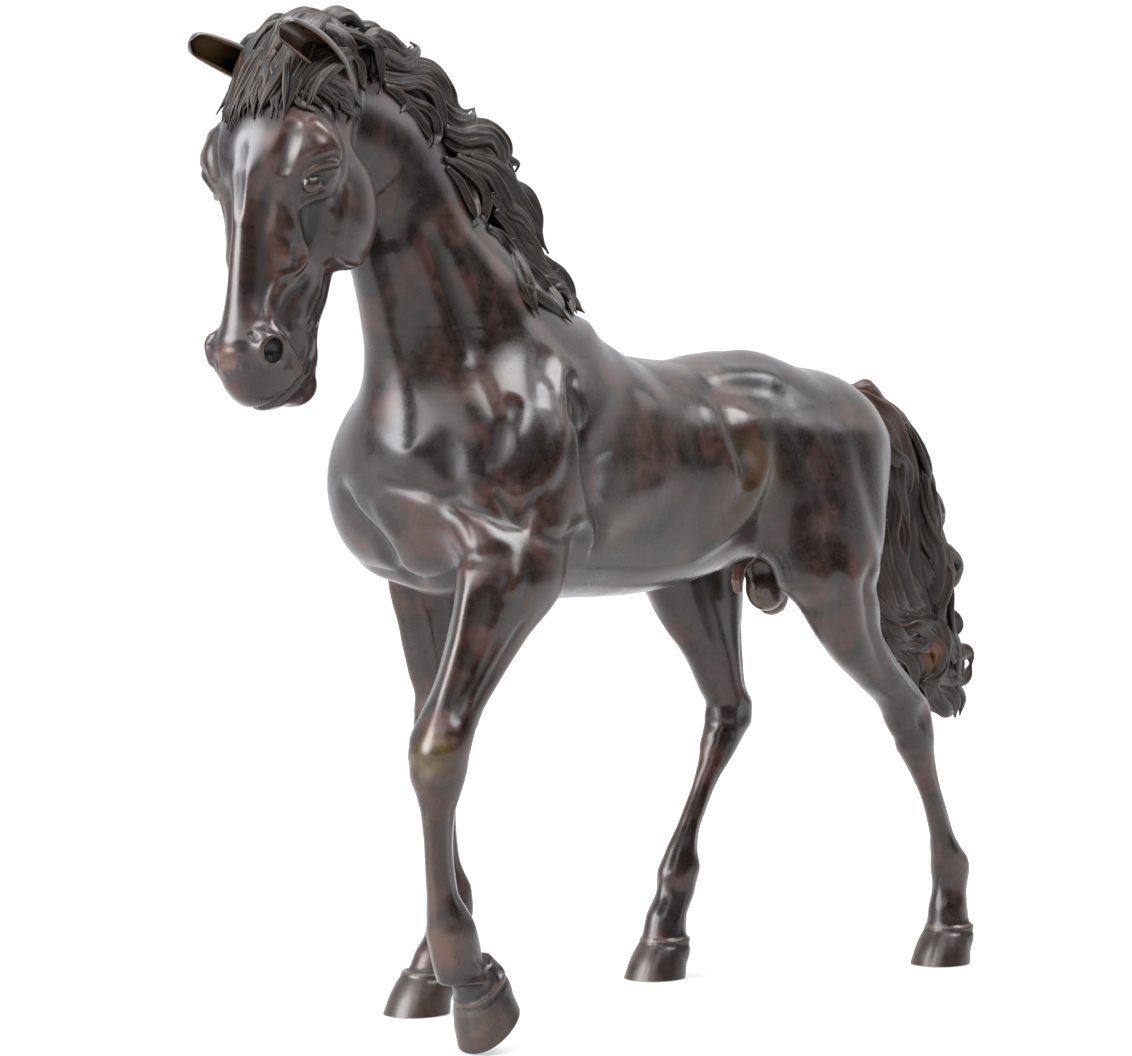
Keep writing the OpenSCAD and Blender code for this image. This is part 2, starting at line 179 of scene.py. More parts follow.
# ------------------------------------------------------------------ small numeric kit
def pchip(ts, vs, t):
    """Shape-preserving cubic through (ts, vs); vs may have several columns."""
    ts = np.asarray(ts, float)
    vs = np.asarray(vs, float)
    if vs.ndim == 1:
        vs = vs[:, None]
    h = np.diff(ts)[:, None]
    d = np.diff(vs, axis=0) / h
    m = np.zeros_like(vs)
    if len(ts) > 2:
        w1 = 2 * h[1:] + h[:-1]
        w2 = h[1:] + 2 * h[:-1]
        ok = d[1:] * d[:-1] > 0
        with np.errstate(divide="ignore", invalid="ignore"):
            hm = (w1 + w2) / (w1 / d[:-1] + w2 / d[1:])
        m[1:-1] = np.where(ok, hm, 0)
    m[0], m[-1] = d[0], d[-1]
    t = np.clip(np.asarray(t, float), ts[0], ts[-1])
    k = np.clip(np.searchsorted(ts, t, side="right") - 1, 0, len(ts) - 2)
    hh = h[k, 0]
    s = ((t - ts[k]) / hh)[..., None]
    hh = hh[..., None]
    r = (2 * s**3 - 3 * s**2 + 1) * vs[k] + (s**3 - 2 * s**2 + s) * hh * m[k] \
        + (-2 * s**3 + 3 * s**2) * vs[k + 1] + (s**3 - s**2) * hh * m[k + 1]
    return r


def euler(ax, ay, az):
    """Rotation about x, then y, then z, degrees."""
    ca, sa, cb, sb, cc, sc = [f(math.radians(t)) for t in (ax, ay, az) for f in (math.cos, math.sin)]
    rx = np.array([[1, 0, 0], [0, ca, -sa], [0, sa, ca]])
    ry = np.array([[cb, 0, sb], [0, 1, 0], [-sb, 0, cb]])
    rz = np.array([[cc, -sc, 0], [sc, cc, 0], [0, 0, 1]])
    return rz @ ry @ rx


def smooth_line(pts, gap):
    """Points every gap mm along a smooth curve through pts (n, k)."""
    p = np.array(pts, float)
    if len(p) == 2:
        n = max(2, int(np.linalg.norm(p[1, :3] - p[0, :3]) / gap) + 1)
        return p[0] + (p[1] - p[0]) * np.linspace(0, 1, n)[:, None]
    seg = np.r_[0, np.cumsum(np.linalg.norm(np.diff(p[:, :3], axis=0), axis=1) + 1e-6)]
    m = np.gradient(p, seg, axis=0)
    t = np.linspace(0, seg[-1], max(3, int(seg[-1] / gap) + 1))
    k = np.clip(np.searchsorted(seg, t, side="right") - 1, 0, len(seg) - 2)
    h = (seg[k + 1] - seg[k])[:, None]
    u = ((t - seg[k])[:, None]) / h
    return (2 * u**3 - 3 * u**2 + 1) * p[k] + (u**3 - 2 * u**2 + u) * h * m[k] + (-2 * u**3 + 3 * u**2) * p[k + 1] + (u**3 - u**2) * h * m[k + 1]


def smin(a, b, k):
    if k <= 0:
        return np.minimum(a, b)
    h = np.maximum(k - np.abs(a - b), 0) / k
    return np.minimum(a, b) - h * h * (k * 0.25)


def smax(a, b, k):
    return -smin(-a, -b, k)


def step(x, a, b):
    t = np.clip((x - a) / (b - a), 0, 1)
    return t * t * (3 - 2 * t)


class Field:
    """A signed distance grid, millimetres, negative inside."""

    def __init__(self, lo, hi, h):
        self.lo = np.array(lo, float)
        self.h = h
        n = np.ceil((np.array(hi, float) - self.lo) / h).astype(int) + 1
        self.ax = [(self.lo[i] + h * np.arange(n[i])).astype(np.float32) for i in range(3)]
        self.f = np.full(n, 25.0, np.float32)

    def window(self, lo, hi):
        s = []
        for i in range(3):
            a = int(max(0, math.floor((lo[i] - self.lo[i]) / self.h)))
            b = int(min(len(self.ax[i]), math.ceil((hi[i] - self.lo[i]) / self.h) + 1))
            if b <= a:
                return None
            s.append(slice(a, b))
        return tuple(s)

    def open_grid(self, s):
        return (self.ax[0][s[0]][:, None, None], self.ax[1][s[1]][None, :, None], self.ax[2][s[2]][None, None, :])

    def soften(self, c, rad, passes):
        """Melts small creases round c by averaging the field, feathered out at rad."""
        s = self.window([v - rad for v in c], [v + rad for v in c])
        X, Y, Z = self.open_grid(s)
        d = np.sqrt((X - c[0])**2 + (Y - c[1])**2 + (Z - c[2])**2) / rad
        mask = step(1.0 - d, 0.0, 0.45).astype(np.float32)
        f = self.f[s].copy()
        g = f.copy()
        for _ in range(passes):
            for ax in range(3):
                g = (np.roll(g, 1, ax) + np.roll(g, -1, ax) + 2 * g) / 4
                # the window's border keeps its own values
                for e in (0, -1):
                    idx = [slice(None)] * 3
                    idx[ax] = e
                    g[tuple(idx)] = f[tuple(idx)]
        self.f[s] = f + (g - f) * mask

    def apply(self, lo, hi, fn, k=0.0, cut=False, pad=None):
        """fn(X, Y, Z) gives a distance that is joined to the field (or cut from it) inside the box."""
        pad = (k + 3.0) if pad is None else pad
        s = self.window([v - pad for v in lo], [v + pad for v in hi])
        if s is None:
            return
        d = fn(*self.open_grid(s)).astype(np.float32)
        self.f[s] = smax(self.f[s], -d, k) if cut else smin(self.f[s], d, k)

    # --- primitives
    def ball(self, c, r, rot=(0, 0, 0), k=6.0, cut=False, frame=None):
        """Ellipsoid; rot is degrees about x, then y, then z."""
        c = np.array(c, float)
        r = np.array(r, float) * np.ones(3)
        R = euler(*rot)
        if frame is not None:
            c, R = frame[0] + frame[1] @ c, frame[1] @ R
        e = np.sqrt((R**2) @ (r**2))

        def fn(X, Y, Z):
            x, y, z = X - c[0], Y - c[1], Z - c[2]
            q = [(R[0, i] * x + R[1, i] * y + R[2, i] * z) / r[i] for i in range(3)]
            k0 = np.sqrt(q[0]**2 + q[1]**2 + q[2]**2)
            k1 = np.sqrt((q[0] / r[0])**2 + (q[1] / r[1])**2 + (q[2] / r[2])**2) + 1e-6
            return k0 * (k0 - 1) / k1
        self.apply(c - e, c + e, fn, k, cut)

    def rope(self, pts, k=4.0, cut=False, flat=None, frame=None):
        """Round tapered tube through points (x, y, z, r); flat = (normal, factor) flattens it."""
        p = np.array(pts, float)
        if frame is not None:
            p[:, :3] = frame[0] + p[:, :3] @ frame[1].T
        lo = (p[:, :3] - p[:, 3:]).min(0)
        hi = (p[:, :3] + p[:, 3:]).max(0)

        def fn(X, Y, Z):
            best = None
            for a, b in zip(p[:-1], p[1:]):
                ab = b[:3] - a[:3]
                L = ab @ ab + 1e-9
                x, y, z = X - a[0], Y - a[1], Z - a[2]
                t = np.clip((x * ab[0] + y * ab[1] + z * ab[2]) / L, 0, 1)
                dx, dy, dz = x - t * ab[0], y - t * ab[1], z - t * ab[2]
                if flat is not None:
                    n = np.array(flat[0], float)
                    n /= np.linalg.norm(n)
                    w = dx * n[0] + dy * n[1] + dz * n[2]
                    s = (1 / flat[1] - 1) * w
                    dx, dy, dz = dx + s * n[0], dy + s * n[1], dz + s * n[2]
                d = np.sqrt(dx * dx + dy * dy + dz * dz) - (a[3] + (b[3] - a[3]) * t)
                if flat is not None:
                    d = d * (0.5 + 0.5 * flat[1])
                best = d if best is None else np.minimum(best, d)
            return best
        self.apply(lo, hi, fn, k, cut)

    # --- relief: gaussian ridges (h < 0) and grooves (h > 0) laid on the surface
    def snap(self, P, n=5):
        P = np.array(P, float)
        for _ in range(n):
            P = P - self.normals(P) * np.clip(self.sample(P), -6, 6)[:, None] * 0.9
        return P

    def line(self, pts, h, w, w2=None, ends=0.2, snap=True, frame=None, both=False):
        """A ridge or groove of height h mm and half width w (w2 on the other side) along pts (x, y, z[, scale])."""
        if both:
            self.line(pts, h, w, w2, ends, snap, frame)
            m = np.array(pts, float)
            m[:, 0] *= -1
            self.line(m, h, w2 or w, w if w2 else None, ends, snap, frame)
            return
        P = smooth_line(pts, max(1.2, min(w, w2 or w) * 0.45))
        sc = P[:, 3] if P.shape[1] > 3 else np.ones(len(P))
        P = P[:, :3]
        if frame is not None:
            P = frame[0] + P @ frame[1].T
        if snap:
            P = self.snap(P)
        N = self.normals(P)
        T = np.gradient(P, axis=0)
        B = np.cross(N, T)
        B /= np.linalg.norm(B, axis=1, keepdims=True) + 1e-9
        u = np.linspace(0, 1, len(P))
        amp = h * sc
        if ends > 0:
            amp = amp * step(u, -0.02, ends) * step(1 - u, -0.02, ends)
        wm = max(w, w2 or w)
        s = self.window(P.min(0) - 2.6 * wm, P.max(0) + 2.6 * wm)
        if s is None:
            return
        X, Y, Z = self.open_grid(s)
        best = np.full(self.f[s].shape, 1e9, np.float32)
        idx = np.zeros(best.shape, np.int16)
        for i, p in enumerate(P):
            d = (X - np.float32(p[0]))**2 + (Y - np.float32(p[1]))**2 + (Z - np.float32(p[2]))**2
            m = d < best
            best[m] = d[m]
            idx[m] = i
        near = best < (2.6 * wm)**2
        ii = idx[near].astype(int)
        g = [np.broadcast_to(a, best.shape)[near] for a in (X, Y, Z)]
        off = np.stack([g[k] - P[ii, k] for k in range(3)], -1)
        L = np.linalg.norm(T, axis=1) + 1e-9
        al = np.clip((off * T[ii]).sum(1) / L[ii]**2, -0.5, 0.5)          # place between samples
        d2 = np.maximum(best[near] - (al * L[ii])**2, 0)
        ww = w
        if w2 is not None:
            side = (off * B[ii]).sum(1) / wm
            ww = w2 + (w - w2) * step(side, -0.5, 0.5)
        a = np.interp(ii + al, np.arange(len(P)), amp)
        f = self.f[s]
        f[near] += (a * np.exp(-d2 / ww**2)).astype(np.float32)

    def bump(self, c, r, h, rot=(0, 0, 0), frame=None, snap=True, both=False):
        """A soft swelling (h > 0) or hollow (h < 0) of radii r about a surface point."""
        if both:
            self.bump(c, r, h, rot, frame, snap)
            self.bump((-c[0], c[1], c[2]), r, h, (rot[0], -rot[1], -rot[2]), frame, snap)
            return
        c = np.array(c, float)
        R = euler(*rot)
        if frame is not None:
            c, R = frame[0] + frame[1] @ c, frame[1] @ R
        if snap:
            c = self.snap(c[None])[0]
        r = np.array(r, float) * np.ones(3)
        e = 2.4 * np.sqrt((R**2) @ (r**2))
        s = self.window(c - e, c + e)
        if s is None:
            return
        X, Y, Z = self.open_grid(s)
        x, y, z = X - c[0], Y - c[1], Z - c[2]
        d = sum(((R[0, i] * x + R[1, i] * y + R[2, i] * z) / r[i])**2 for i in range(3))
        self.f[s] -= (h * np.exp(-d)).astype(np.float32)

    def sample(self, p):
        """Trilinear value at points (n, 3)."""
        q = (np.asarray(p, float) - self.lo) / self.h
        q = np.clip(q, 0, np.array(self.f.shape) - 1.001)
        i = np.floor(q).astype(int)
        w = q - i
        r = 0
        for dx in (0, 1):
            for dy in (0, 1):
                for dz in (0, 1):
                    ww = (w[:, 0] if dx else 1 - w[:, 0]) * (w[:, 1] if dy else 1 - w[:, 1]) * (w[:, 2] if dz else 1 - w[:, 2])
                    r = r + ww * self.f[i[:, 0] + dx, i[:, 1] + dy, i[:, 2] + dz]
        return r

    def normals(self, p):
        e = self.h * 0.8
        g = np.stack([self.sample(p + d) - self.sample(p - d) for d in np.eye(3) * e], -1)
        return g / (np.linalg.norm(g, axis=1, keepdims=True) + 1e-9)

    def mesh(self, lo=None, hi=None):
        """Vertices (n, 3) in mm and quads (m, 4), of the whole grid or of a box of it."""
        f, o = self.f, self.lo
        if lo is not None:
            s = self.window(lo, hi)
            f, o = f[s], self.lo + self.h * np.array([k.start for k in s])
        a = np.clip(f, -3 * self.h, 3 * self.h).astype(np.float32)
        g = openvdb.FloatGrid(float(3 * self.h))
        g.copyFromArray(np.ascontiguousarray(a))
        v, q = g.convertToQuads(0.0)
        return v.astype(float) * self.h + o, q

    def curve(self, p, e=1.5):
        """How convex the surface is at points: above 0 on ridges, below 0 in creases (per mm)."""
        c = self.sample(p)
        return sum(self.sample(p + d) + self.sample(p - d) - 2 * c for d in np.eye(3) * e) / e**2


def tube_y(s, Y, Z, X, n_up=2.0, n_dn=2.0):
    """Trunk: upright sections along y, rows [y, zc, rx, up, down, upper exponent, lower exponent]."""
    s = np.array(s, float)
    y = Y.ravel()
    v = pchip(s[:, 0], s[:, 1:], y)
    zc, rx, up, dn, nu, nd = [v[:, i][None, :, None].astype(np.float32) for i in range(6)]
    over = np.maximum(np.maximum(s[0, 0] - y, y - s[-1, 0]), 0)[None, :, None].astype(np.float32)
    dz = Z - zc
    top = dz > 0
    rz = np.where(top, up, dn)
    n = np.where(top, nu, nd)
    ax = np.abs(X) / rx + 1e-4
    az = np.abs(dz) / rz + 1e-4
    p = ax**n + az**n
    N = p**(1 / n)
    g = np.sqrt((ax**(n - 1) / rx)**2 + (az**(n - 1) / rz)**2) / N**(n - 1)
    d = (N - 1) / g
    return np.where(over > 0, np.sqrt(np.maximum(d, 0)**2 + over**2), d)


def tube_z(s, X, Y, Z):
    """Limb: level sections, rows [z, cx, cy, rx, front, back, exponent]."""
    s = np.array(s, float)[::-1]
    z = Z.ravel()
    v = pchip(s[:, 0], s[:, 1:], z)
    cx, cy, rx, fr, bk, n = [v[:, i][None, None, :].astype(np.float32) for i in range(6)]
    over = np.maximum(np.maximum(s[0, 0] - z, z - s[-1, 0]), 0)[None, None, :].astype(np.float32)
    dy = Y - cy
    ry = np.where(dy < 0, fr, bk)
    ax = np.abs(X - cx) / rx + 1e-4
    ay = np.abs(dy) / ry + 1e-4
    N = (ax**n + ay**n)**(1 / n)
    g = np.sqrt((ax**(n - 1) / rx)**2 + (ay**(n - 1) / ry)**2) / N**(n - 1)
    d = (N - 1) / g
    return np.where(over > 0, np.sqrt(np.maximum(d, 0)**2 + over**2), d)


def tube_path(s, X, Y, Z):
    """Neck: rows [y, z, rx, crest radius, throat radius, crest exponent] along a curve in the middle plane."""
    s = np.array(s, float)
    seg = np.r_[0, np.cumsum(np.hypot(np.diff(s[:, 0]), np.diff(s[:, 1])))]
    t = np.linspace(0, seg[-1], 260)
    c = pchip(seg, s, t)
    tan = np.gradient(c[:, :2], t, axis=0)
    tan /= np.linalg.norm(tan, axis=1, keepdims=True)
    y = np.broadcast_to(Y, (1, Y.shape[1], Z.shape[2]))[0].astype(np.float64)
    z = np.broadcast_to(Z, (1, Y.shape[1], Z.shape[2]))[0].astype(np.float64)
    best = np.full(y.shape, 1e9)
    idx = np.zeros(y.shape, int)
    for i in range(len(t)):
        d = (y - c[i, 0])**2 + (z - c[i, 1])**2
        m = d < best
        best[m] = d[m]
        idx[m] = i
    # refine between samples
    dy, dz = y - c[idx, 0], z - c[idx, 1]
    along = dy * tan[idx, 0] + dz * tan[idx, 1]
    tt = np.clip(t[idx] + along, 0, seg[-1])
    cc = pchip(seg, s, tt.ravel()).reshape(y.shape + (6,))
    tx = np.stack([np.interp(tt, t, tan[:, 0]), np.interp(tt, t, tan[:, 1])], -1)
    tx /= np.linalg.norm(tx, axis=-1, keepdims=True)
    dy, dz = y - cc[..., 0], z - cc[..., 1]
    v = dy * (-tx[..., 1]) * -1 + dz * tx[..., 0] * -1      # positive on the crest side
    e = dy * tx[..., 0] + dz * tx[..., 1]
    over = np.where((tt <= 0) | (tt >= seg[-1]), np.abs(e), 0)
    rx = cc[..., 2]
    rv = np.where(v > 0, cc[..., 3], cc[..., 4])
    n = np.where(v > 0, cc[..., 5], 2.0)
    av = np.abs(v) / rv + 1e-4
    rx, rv, n, av, over = [q[None].astype(np.float32) for q in (rx, rv, n, av, over)]
    ax = np.abs(X) / rx + 1e-4
    N = (ax**n + av**n)**(1 / n)
    g = np.sqrt((ax**(n - 1) / rx)**2 + (av**(n - 1) / rv)**2) / N**(n - 1)
    d = (N - 1) / g
    return np.where(over > 0, np.sqrt(np.maximum(d, 0)**2 + over**2), d)


# ------------------------------------------------------------------ body sections (mm)
TORSO = [[-150, 249, 38, 34, 38, 2, 2], [-144, 250, 50, 46, 49, 1.95, 2.1],
         [-128, 252, 54, 56, 58, 1.9, 2.1], [-100, 254, 51, 62, 61, 1.8, 2.1], [-72, 256, 49, 62, 63, 1.7, 2.1], [-48, 257, 48, 60.5, 63.5, 1.7, 2.1],
         [-20, 255, 48, 52.8, 61, 1.8, 2.1], [8, 254, 49, 52.5, 57, 1.95, 2.1], [35, 257, 50, 54.5, 54, 2, 2.1], [66, 262, 50, 53.5, 51.5, 2, 2],
         [96, 262, 51, 47, 50, 2, 2], [120, 263, 47, 42, 44, 2, 2], [138, 268, 36, 32, 30, 2, 2]]
NECK = [[-98, 274, 44, 48, 67, 1.9], [-110, 292, 40, 60, 69.5, 1.8], [-119, 309, 36, 50, 61.5, 1.7], [-140.5, 340, 29, 38, 47.5, 1.65],
        [-152.5, 357, 25.5, 34, 40.5, 1.6], [-165, 376, 22.5, 32, 34, 1.6], [-178, 391, 20.5, 32, 33, 1.7], [-193, 396.5, 20, 31, 31, 1.8],
        [-216, 398.5, 19, 27, 27, 2]]
LF = [[262, 20, -104, 20, 34, 34, 2], [240, 34, -124, 19, 32, 32, 2], [216, 46, -141, 18, 29, 31, 2], [200, 49, -146, 17, 28, 30, 2], [178, 48, -160, 13.5, 19, 21, 2],
      [161, 47, -170, 12, 15, 17, 2], [148, 46, -178, 12.5, 13, 14, 2.1], [136, 46, -184, 13.5, 13, 13, 2.3], [125, 46, -186, 12.5, 12, 12, 2.3],
      [112, 46, -186, 9, 9.5, 9.5, 2.1], [104, 46, -186, 7, 8, 8, 2], [89, 46, -185.5, 5.8, 7, 7, 2], [72, 46, -184, 6.3, 7, 8, 2],
      [60, 46, -181, 8.5, 9, 12, 2], [50, 46, -178, 9.5, 11, 13, 2.1], [41, 46, -175, 10, 12, 12.5, 2], [31, 46.5, -171, 10.5, 12.5, 12, 2]]
RF = [[262, -20, -104, 20, 34, 34, 2], [240, -34, -100, 19, 31, 32, 2], [216, -46, -95, 18, 28, 31, 2], [200, -49, -94, 17, 27, 30, 2], [178, -49, -94, 15, 20, 22, 2],
      [158, -49, -92, 13.3, 16, 17, 2], [146, -48, -91, 12.5, 13, 14, 2.1], [136, -48, -91, 13, 13, 13, 2.3], [125, -47, -91, 12, 12, 12, 2.3],
      [112, -47, -91.5, 9, 9.5, 9.5, 2.1], [104, -47, -91.5, 7, 8, 8, 2], [89, -47, -91, 5.8, 7, 7, 2], [72, -47, -90, 6.3, 7, 8, 2],
      [56, -47, -88, 8.5, 9, 12, 2], [46, -47, -87.5, 9.5, 10, 13, 2.1], [36, -47, -89, 9, 11.5, 12, 2], [27, -47, -94, 10, 12.5, 13, 2], [18, -47, -98, 10.5, 13.2, 13, 2]]
LH = [[268, 24, 92, 22, 40, 46, 2], [240, 35, 84, 21, 38, 54, 2], [216, 44, 78, 20, 33, 46, 2], [200, 48, 77, 18, 30, 37, 2], [188, 48, 88, 16, 25.5, 27, 2], [175, 46, 99, 14, 22, 21, 2],
      [160, 44, 116, 12, 21, 20, 2], [146, 42, 138, 11, 19.5, 18, 2], [137, 41.5, 149, 10.5, 15, 16, 2.1], [127, 41, 157, 10, 14, 13, 2.2], [119, 41, 160, 9.5, 12, 12, 2.2],
      [112, 40.5, 163, 8.5, 10.5, 10.5, 2.1], [101, 40, 170, 6.8, 8.5, 8.5, 2], [85, 40, 179, 5.6, 7, 7, 2], [69, 39, 187, 6, 7, 7.5, 2], [58, 39, 191, 7.5, 9, 10.5, 2],
      [48, 38, 196, 8.8, 11, 12, 2.1], [38, 38, 195, 8.5, 10, 11, 2], [28, 38, 194, 9.5, 11, 12, 2], [18, 38, 194, 10.5, 12, 13, 2]]
RH = [[268, -24, 92, 22, 40, 46, 2], [240, -35, 92, 21, 38, 48, 2], [216, -43, 88, 20, 34, 42, 2], [200, -45, 86, 19, 33, 35, 2], [189, -44, 90, 17, 31.5, 30, 2], [173, -43, 95, 14, 25.5, 24, 2],
      [158, -42, 101, 12, 18, 18, 2], [142, -41, 107, 10.5, 15, 14, 2], [134, -40, 110, 10, 13.5, 14, 2.1], [126, -40, 110, 9.8, 13.5, 13.5, 2.2], [119, -40, 105, 9.5, 12.5, 12.5, 2.2],
      [112, -39.5, 101, 8.5, 10.5, 10.5, 2.1], [103, -39, 95, 7, 8.5, 8.5, 2], [91, -39, 87.5, 5.6, 7, 7, 2], [77, -38, 78, 5.6, 7, 7, 2], [62, -38, 70, 7.5, 9, 9.5, 2],
      [52, -38, 67, 8.8, 11, 12, 2.1], [42, -38, 65, 9, 11, 11.5, 2], [30, -38, 58, 9.5, 11, 12, 2], [18, -38, 56, 10.5, 12, 13, 2]]


def limb_box(s):
    s = np.array(s, float)
    return ([(s[:, 1] - s[:, 3]).min(), (s[:, 2] - s[:, 4]).min(), s[:, 0].min()],
            [(s[:, 1] + s[:, 3]).max(), (s[:, 2] + s[:, 5]).max(), s[:, 0].max()])


def add_neck(F, k):
    F.apply([-52, -250, 225], [52, -30, 445], lambda X, Y, Z: tube_path(NECK, X, Y, Z), k)


HEAD = [[440, 0, -30, 9, 11, 12, 2], [434, 0, -33, 16, 18, 20, 2], [424, 0, -37, 21, 24, 24, 2.1], [410, 0, -43, 23, 28, 26, 2.2], [395, 0, -49, 24, 30, 28, 2.2],
        [380, 0, -52, 24.5, 30, 29, 2.2], [366, 0, -53, 23.5, 29, 31, 2.1], [352, 0, -56, 20.5, 27, 33, 2], [340, 0, -59, 17.5, 26, 34, 2], [325, 0, -62, 15, 25, 33.5, 2],
        [312, 0, -66, 14.5, 23, 31, 2], [302, 0, -69, 15.8, 24, 31, 2.1], [292, 0, -69, 15.8, 23, 28, 2.1], [286, 0, -68, 12, 18, 20, 2.1]]
TURN = math.radians(12)
HEAD_FRAME = (np.array([0.0, -190.0, 0.0]), np.array([[math.cos(TURN), -math.sin(TURN), 0], [math.sin(TURN), math.cos(TURN), 0], [0, 0, 1.0]]))


def head_xy(X, Y):
    c, s = math.cos(TURN), math.sin(TURN)
    return c * X + s * (Y + 190), -s * X + c * (Y + 190)


def head_forms(F):
    """The big volumes of the head; also laid in the body grid so that both castings meet on one surface."""
    F.apply([-30, -292, 275], [62, -190, 442], lambda X, Y, Z: tube_z(HEAD, *head_xy(X, Y), Z), 5)
    fr = HEAD_FRAME
    for m in (1, -1):
        F.ball((m * 17.5, -37.5, 361), (11.5, 22, 26), (0, 0, 0), 6, frame=fr)            # jowl


def build_head(relief=True):
    F = Field([-36, -294, 262], [66, -176, 450], H_HEAD)
    add_neck(F, 0)
    head_forms(F)
    fr = HEAD_FRAME
    F.ball((0, -69, 290.5), (13.5, 21.5, 15), (0, 0, 0), 4, frame=fr)                 # lips
    F.ball((0, -60, 381), (27, 23, 24), (0, 0, 0), 6, frame=fr)                       # forehead
    for m in (1, -1):
        F.ball((m * 19, -63, 380), (14, 13, 17.5), (0, 0, 0), 8, frame=fr)            # brow dome
        F.ball((m * 12, -82, 301), (5.5, 7.5, 7.5), (0, 0, 0), 5, frame=fr)           # nostril rim
    F.rope([(0, -77, 372, 7), (0, -81, 340, 6), (0, -83, 318, 6), (0, -84, 304, 7)], 6, frame=fr)   # nasal bone
    F.ball((0, -50, 287), (10.5, 13, 9.5), (0, 0, 0), 3, frame=fr)                    # lower lip
    if relief:
        neck_relief(F)
        head_relief(F)
    return F


def head_relief(F):
    fr = HEAD_FRAME

    def L(pts, h, w, both=True, **k):
        F.line(pts, h, w, frame=fr, **k)
        if both:
            F.line([(-p[0],) + tuple(p[1:]) for p in pts], h, w, frame=fr, **k)

    def B(c, rad, h, both=True):
        F.bump(c, rad, h, frame=fr)
        if both:
            F.bump((-c[0],) + tuple(c[1:]), rad, h, frame=fr)
    # forehead and nasal bone
    L([(12, -79, 372), (10.5, -80, 362), (9.5, -82, 349), (9.5, -82, 337), (10.5, -83, 324), (12, -82, 314)], 3.0, 5.0)
    L([(1.2, -80, 390), (1, -84, 376), (0.6, -85, 366), (0, -86, 352)], 0.8, 2.2, both=False)
    L([(4.5, -83, 376), (3.4, -85, 364), (2.2, -86, 350)], -0.5, 2.2)
    L([(20, -72, 395), (18.5, -74, 386), (17, -76, 378), (16, -77, 371)], 2.3, 3.2)
    L([(24, -70, 394), (27, -66, 390), (29, -62, 384), (29, -59, 378)], -1.2, 2.8)
    # eye: pad over it, socket, ball, lids slanting up to the back
    B((27, -67, 381), (7, 7, 6), 1.2)
    for m in (1, -1):
        F.bump((m * 29, -68, 369.5), (7, 8.5, 5.6), -3.3 if m > 0 else -1.6, rot=(40, 0, 0), frame=fr)
        F.ball((24.2, -67.4, 370) if m > 0 else (-22.0, -66, 369.6), (4.3, 6.4, 3.6), (42, 0, m * 10), 0.5, frame=fr)
    L([(24, -76.5, 363), (25.8, -75, 369), (28.6, -70.5, 374.4), (30.6, -64, 377.8), (31, -58.5, 377.5)], -1.9, 1.5)
    L([(25, -77.5, 368), (27.5, -73.5, 375), (30.4, -67, 380), (31.5, -59, 380.5)], 1.4, 1.2)
    L([(24.5, -78, 372), (27.5, -73.5, 379), (30.5, -66, 383.5)], 0.6, 1.1)
    L([(24, -76, 363), (26.6, -71, 362.6), (29, -65.5, 366), (30.8, -59.5, 373.5)], -1.1, 1.2)
    L([(24, -75, 360), (27, -69.5, 359.2), (29.6, -62, 364)], 1.3, 1.5)
    L([(22.5, -77.5, 362.5), (22.5, -77.5, 358)], -0.7, 1.3)
    # cheek: vein, hollow, jaw
    L([(19, -71, 364), (18, -71, 359), (18, -69, 353), (18, -66, 347), (17.5, -60, 340)], -1.5, 1.6)
    L([(21, -67, 360), (20, -65, 353), (19, -60, 345)], 1.5, 1.9)
    B((23, -62, 353), (5, 5.5, 10), -3.4)
    L([(26, -56, 360), (24.5, -54, 352), (22.5, -53, 346)], -0.6, 2.4)
    L([(29, -46, 372), (28, -49, 358), (26, -50, 347), (22, -48, 341)], -0.7, 2.8)
    L([(29, -52, 368), (27, -53, 357), (24, -52, 347)], 0.8, 3.0)
    L([(22, -50, 343), (22, -42, 340.5), (20, -33, 341), (18, -26, 346)], -1.0, 1.8)
    L([(21, -50, 338), (20, -42, 336), (18, -33, 337)], 1.6, 2.6)
    B((15, -73, 339), (3.5, 3.5, 5), 1.3)
    B((16.5, -71, 350), (3.0, 3.0, 5), 0.9)
    L([(16, -70, 344), (15, -68, 336)], 0.9, 1.6)
    # long fold from the cheek round to the nostril and lips
    L([(18, -60, 340), (16.5, -66, 334), (13, -76, 328.5), (11.5, -80, 322), (12, -80, 314), (15, -78, 307), (17, -72, 301), (16.5, -66, 294), (15, -62, 288)], -1.7, 1.7, ends=0.1)
    L([(14.5, -70, 332), (11, -78, 326), (10, -81, 319), (10.5, -81, 312)], 1.0, 1.7)
    L([(16.5, -55, 333), (15.5, -62, 328), (14.5, -71, 321), (14.5, -74, 313), (16, -70, 306)], 1.2, 2.4)
    L([(16.5, -49, 336), (15, -48, 328), (14.5, -54, 319), (15, -58, 311)], -1.1, 1.9)
    L([(14.5, -43, 332), (14, -43, 324), (14, -48, 316)], 0.8, 2.2)
    B((15, -62, 315), (3, 4, 4), 0.7)
    # nostril: hole with a rolled rim
    for m in (1, -1):
        c = np.array([m * 17.0, -83.5, 299.5])
        a1, a2 = np.array([m * 0.62, 0.79, 0.0]), np.array([0, 0.15, 0.99])
        ring = [tuple(c + 5.9 * (math.cos(t) * a1 + 1.05 * math.sin(t) * a2)) for t in np.linspace(0, 2 * math.pi, 17)]
        F.line(ring, -0.8, 1.2, ends=0, frame=fr)
        F.ball((m * 15.6, -82.2, 299.5), (5.3, 5.6, 5.3), (0, 0, 0), 0.5, cut=True, frame=fr)
    L([(8.5, -89, 307), (11, -89.5, 305.5), (12.5, -89, 302)], 1.1, 1.2)
    L([(9, -89, 309), (13, -88, 307), (16, -85, 306)], -0.6, 1.2)
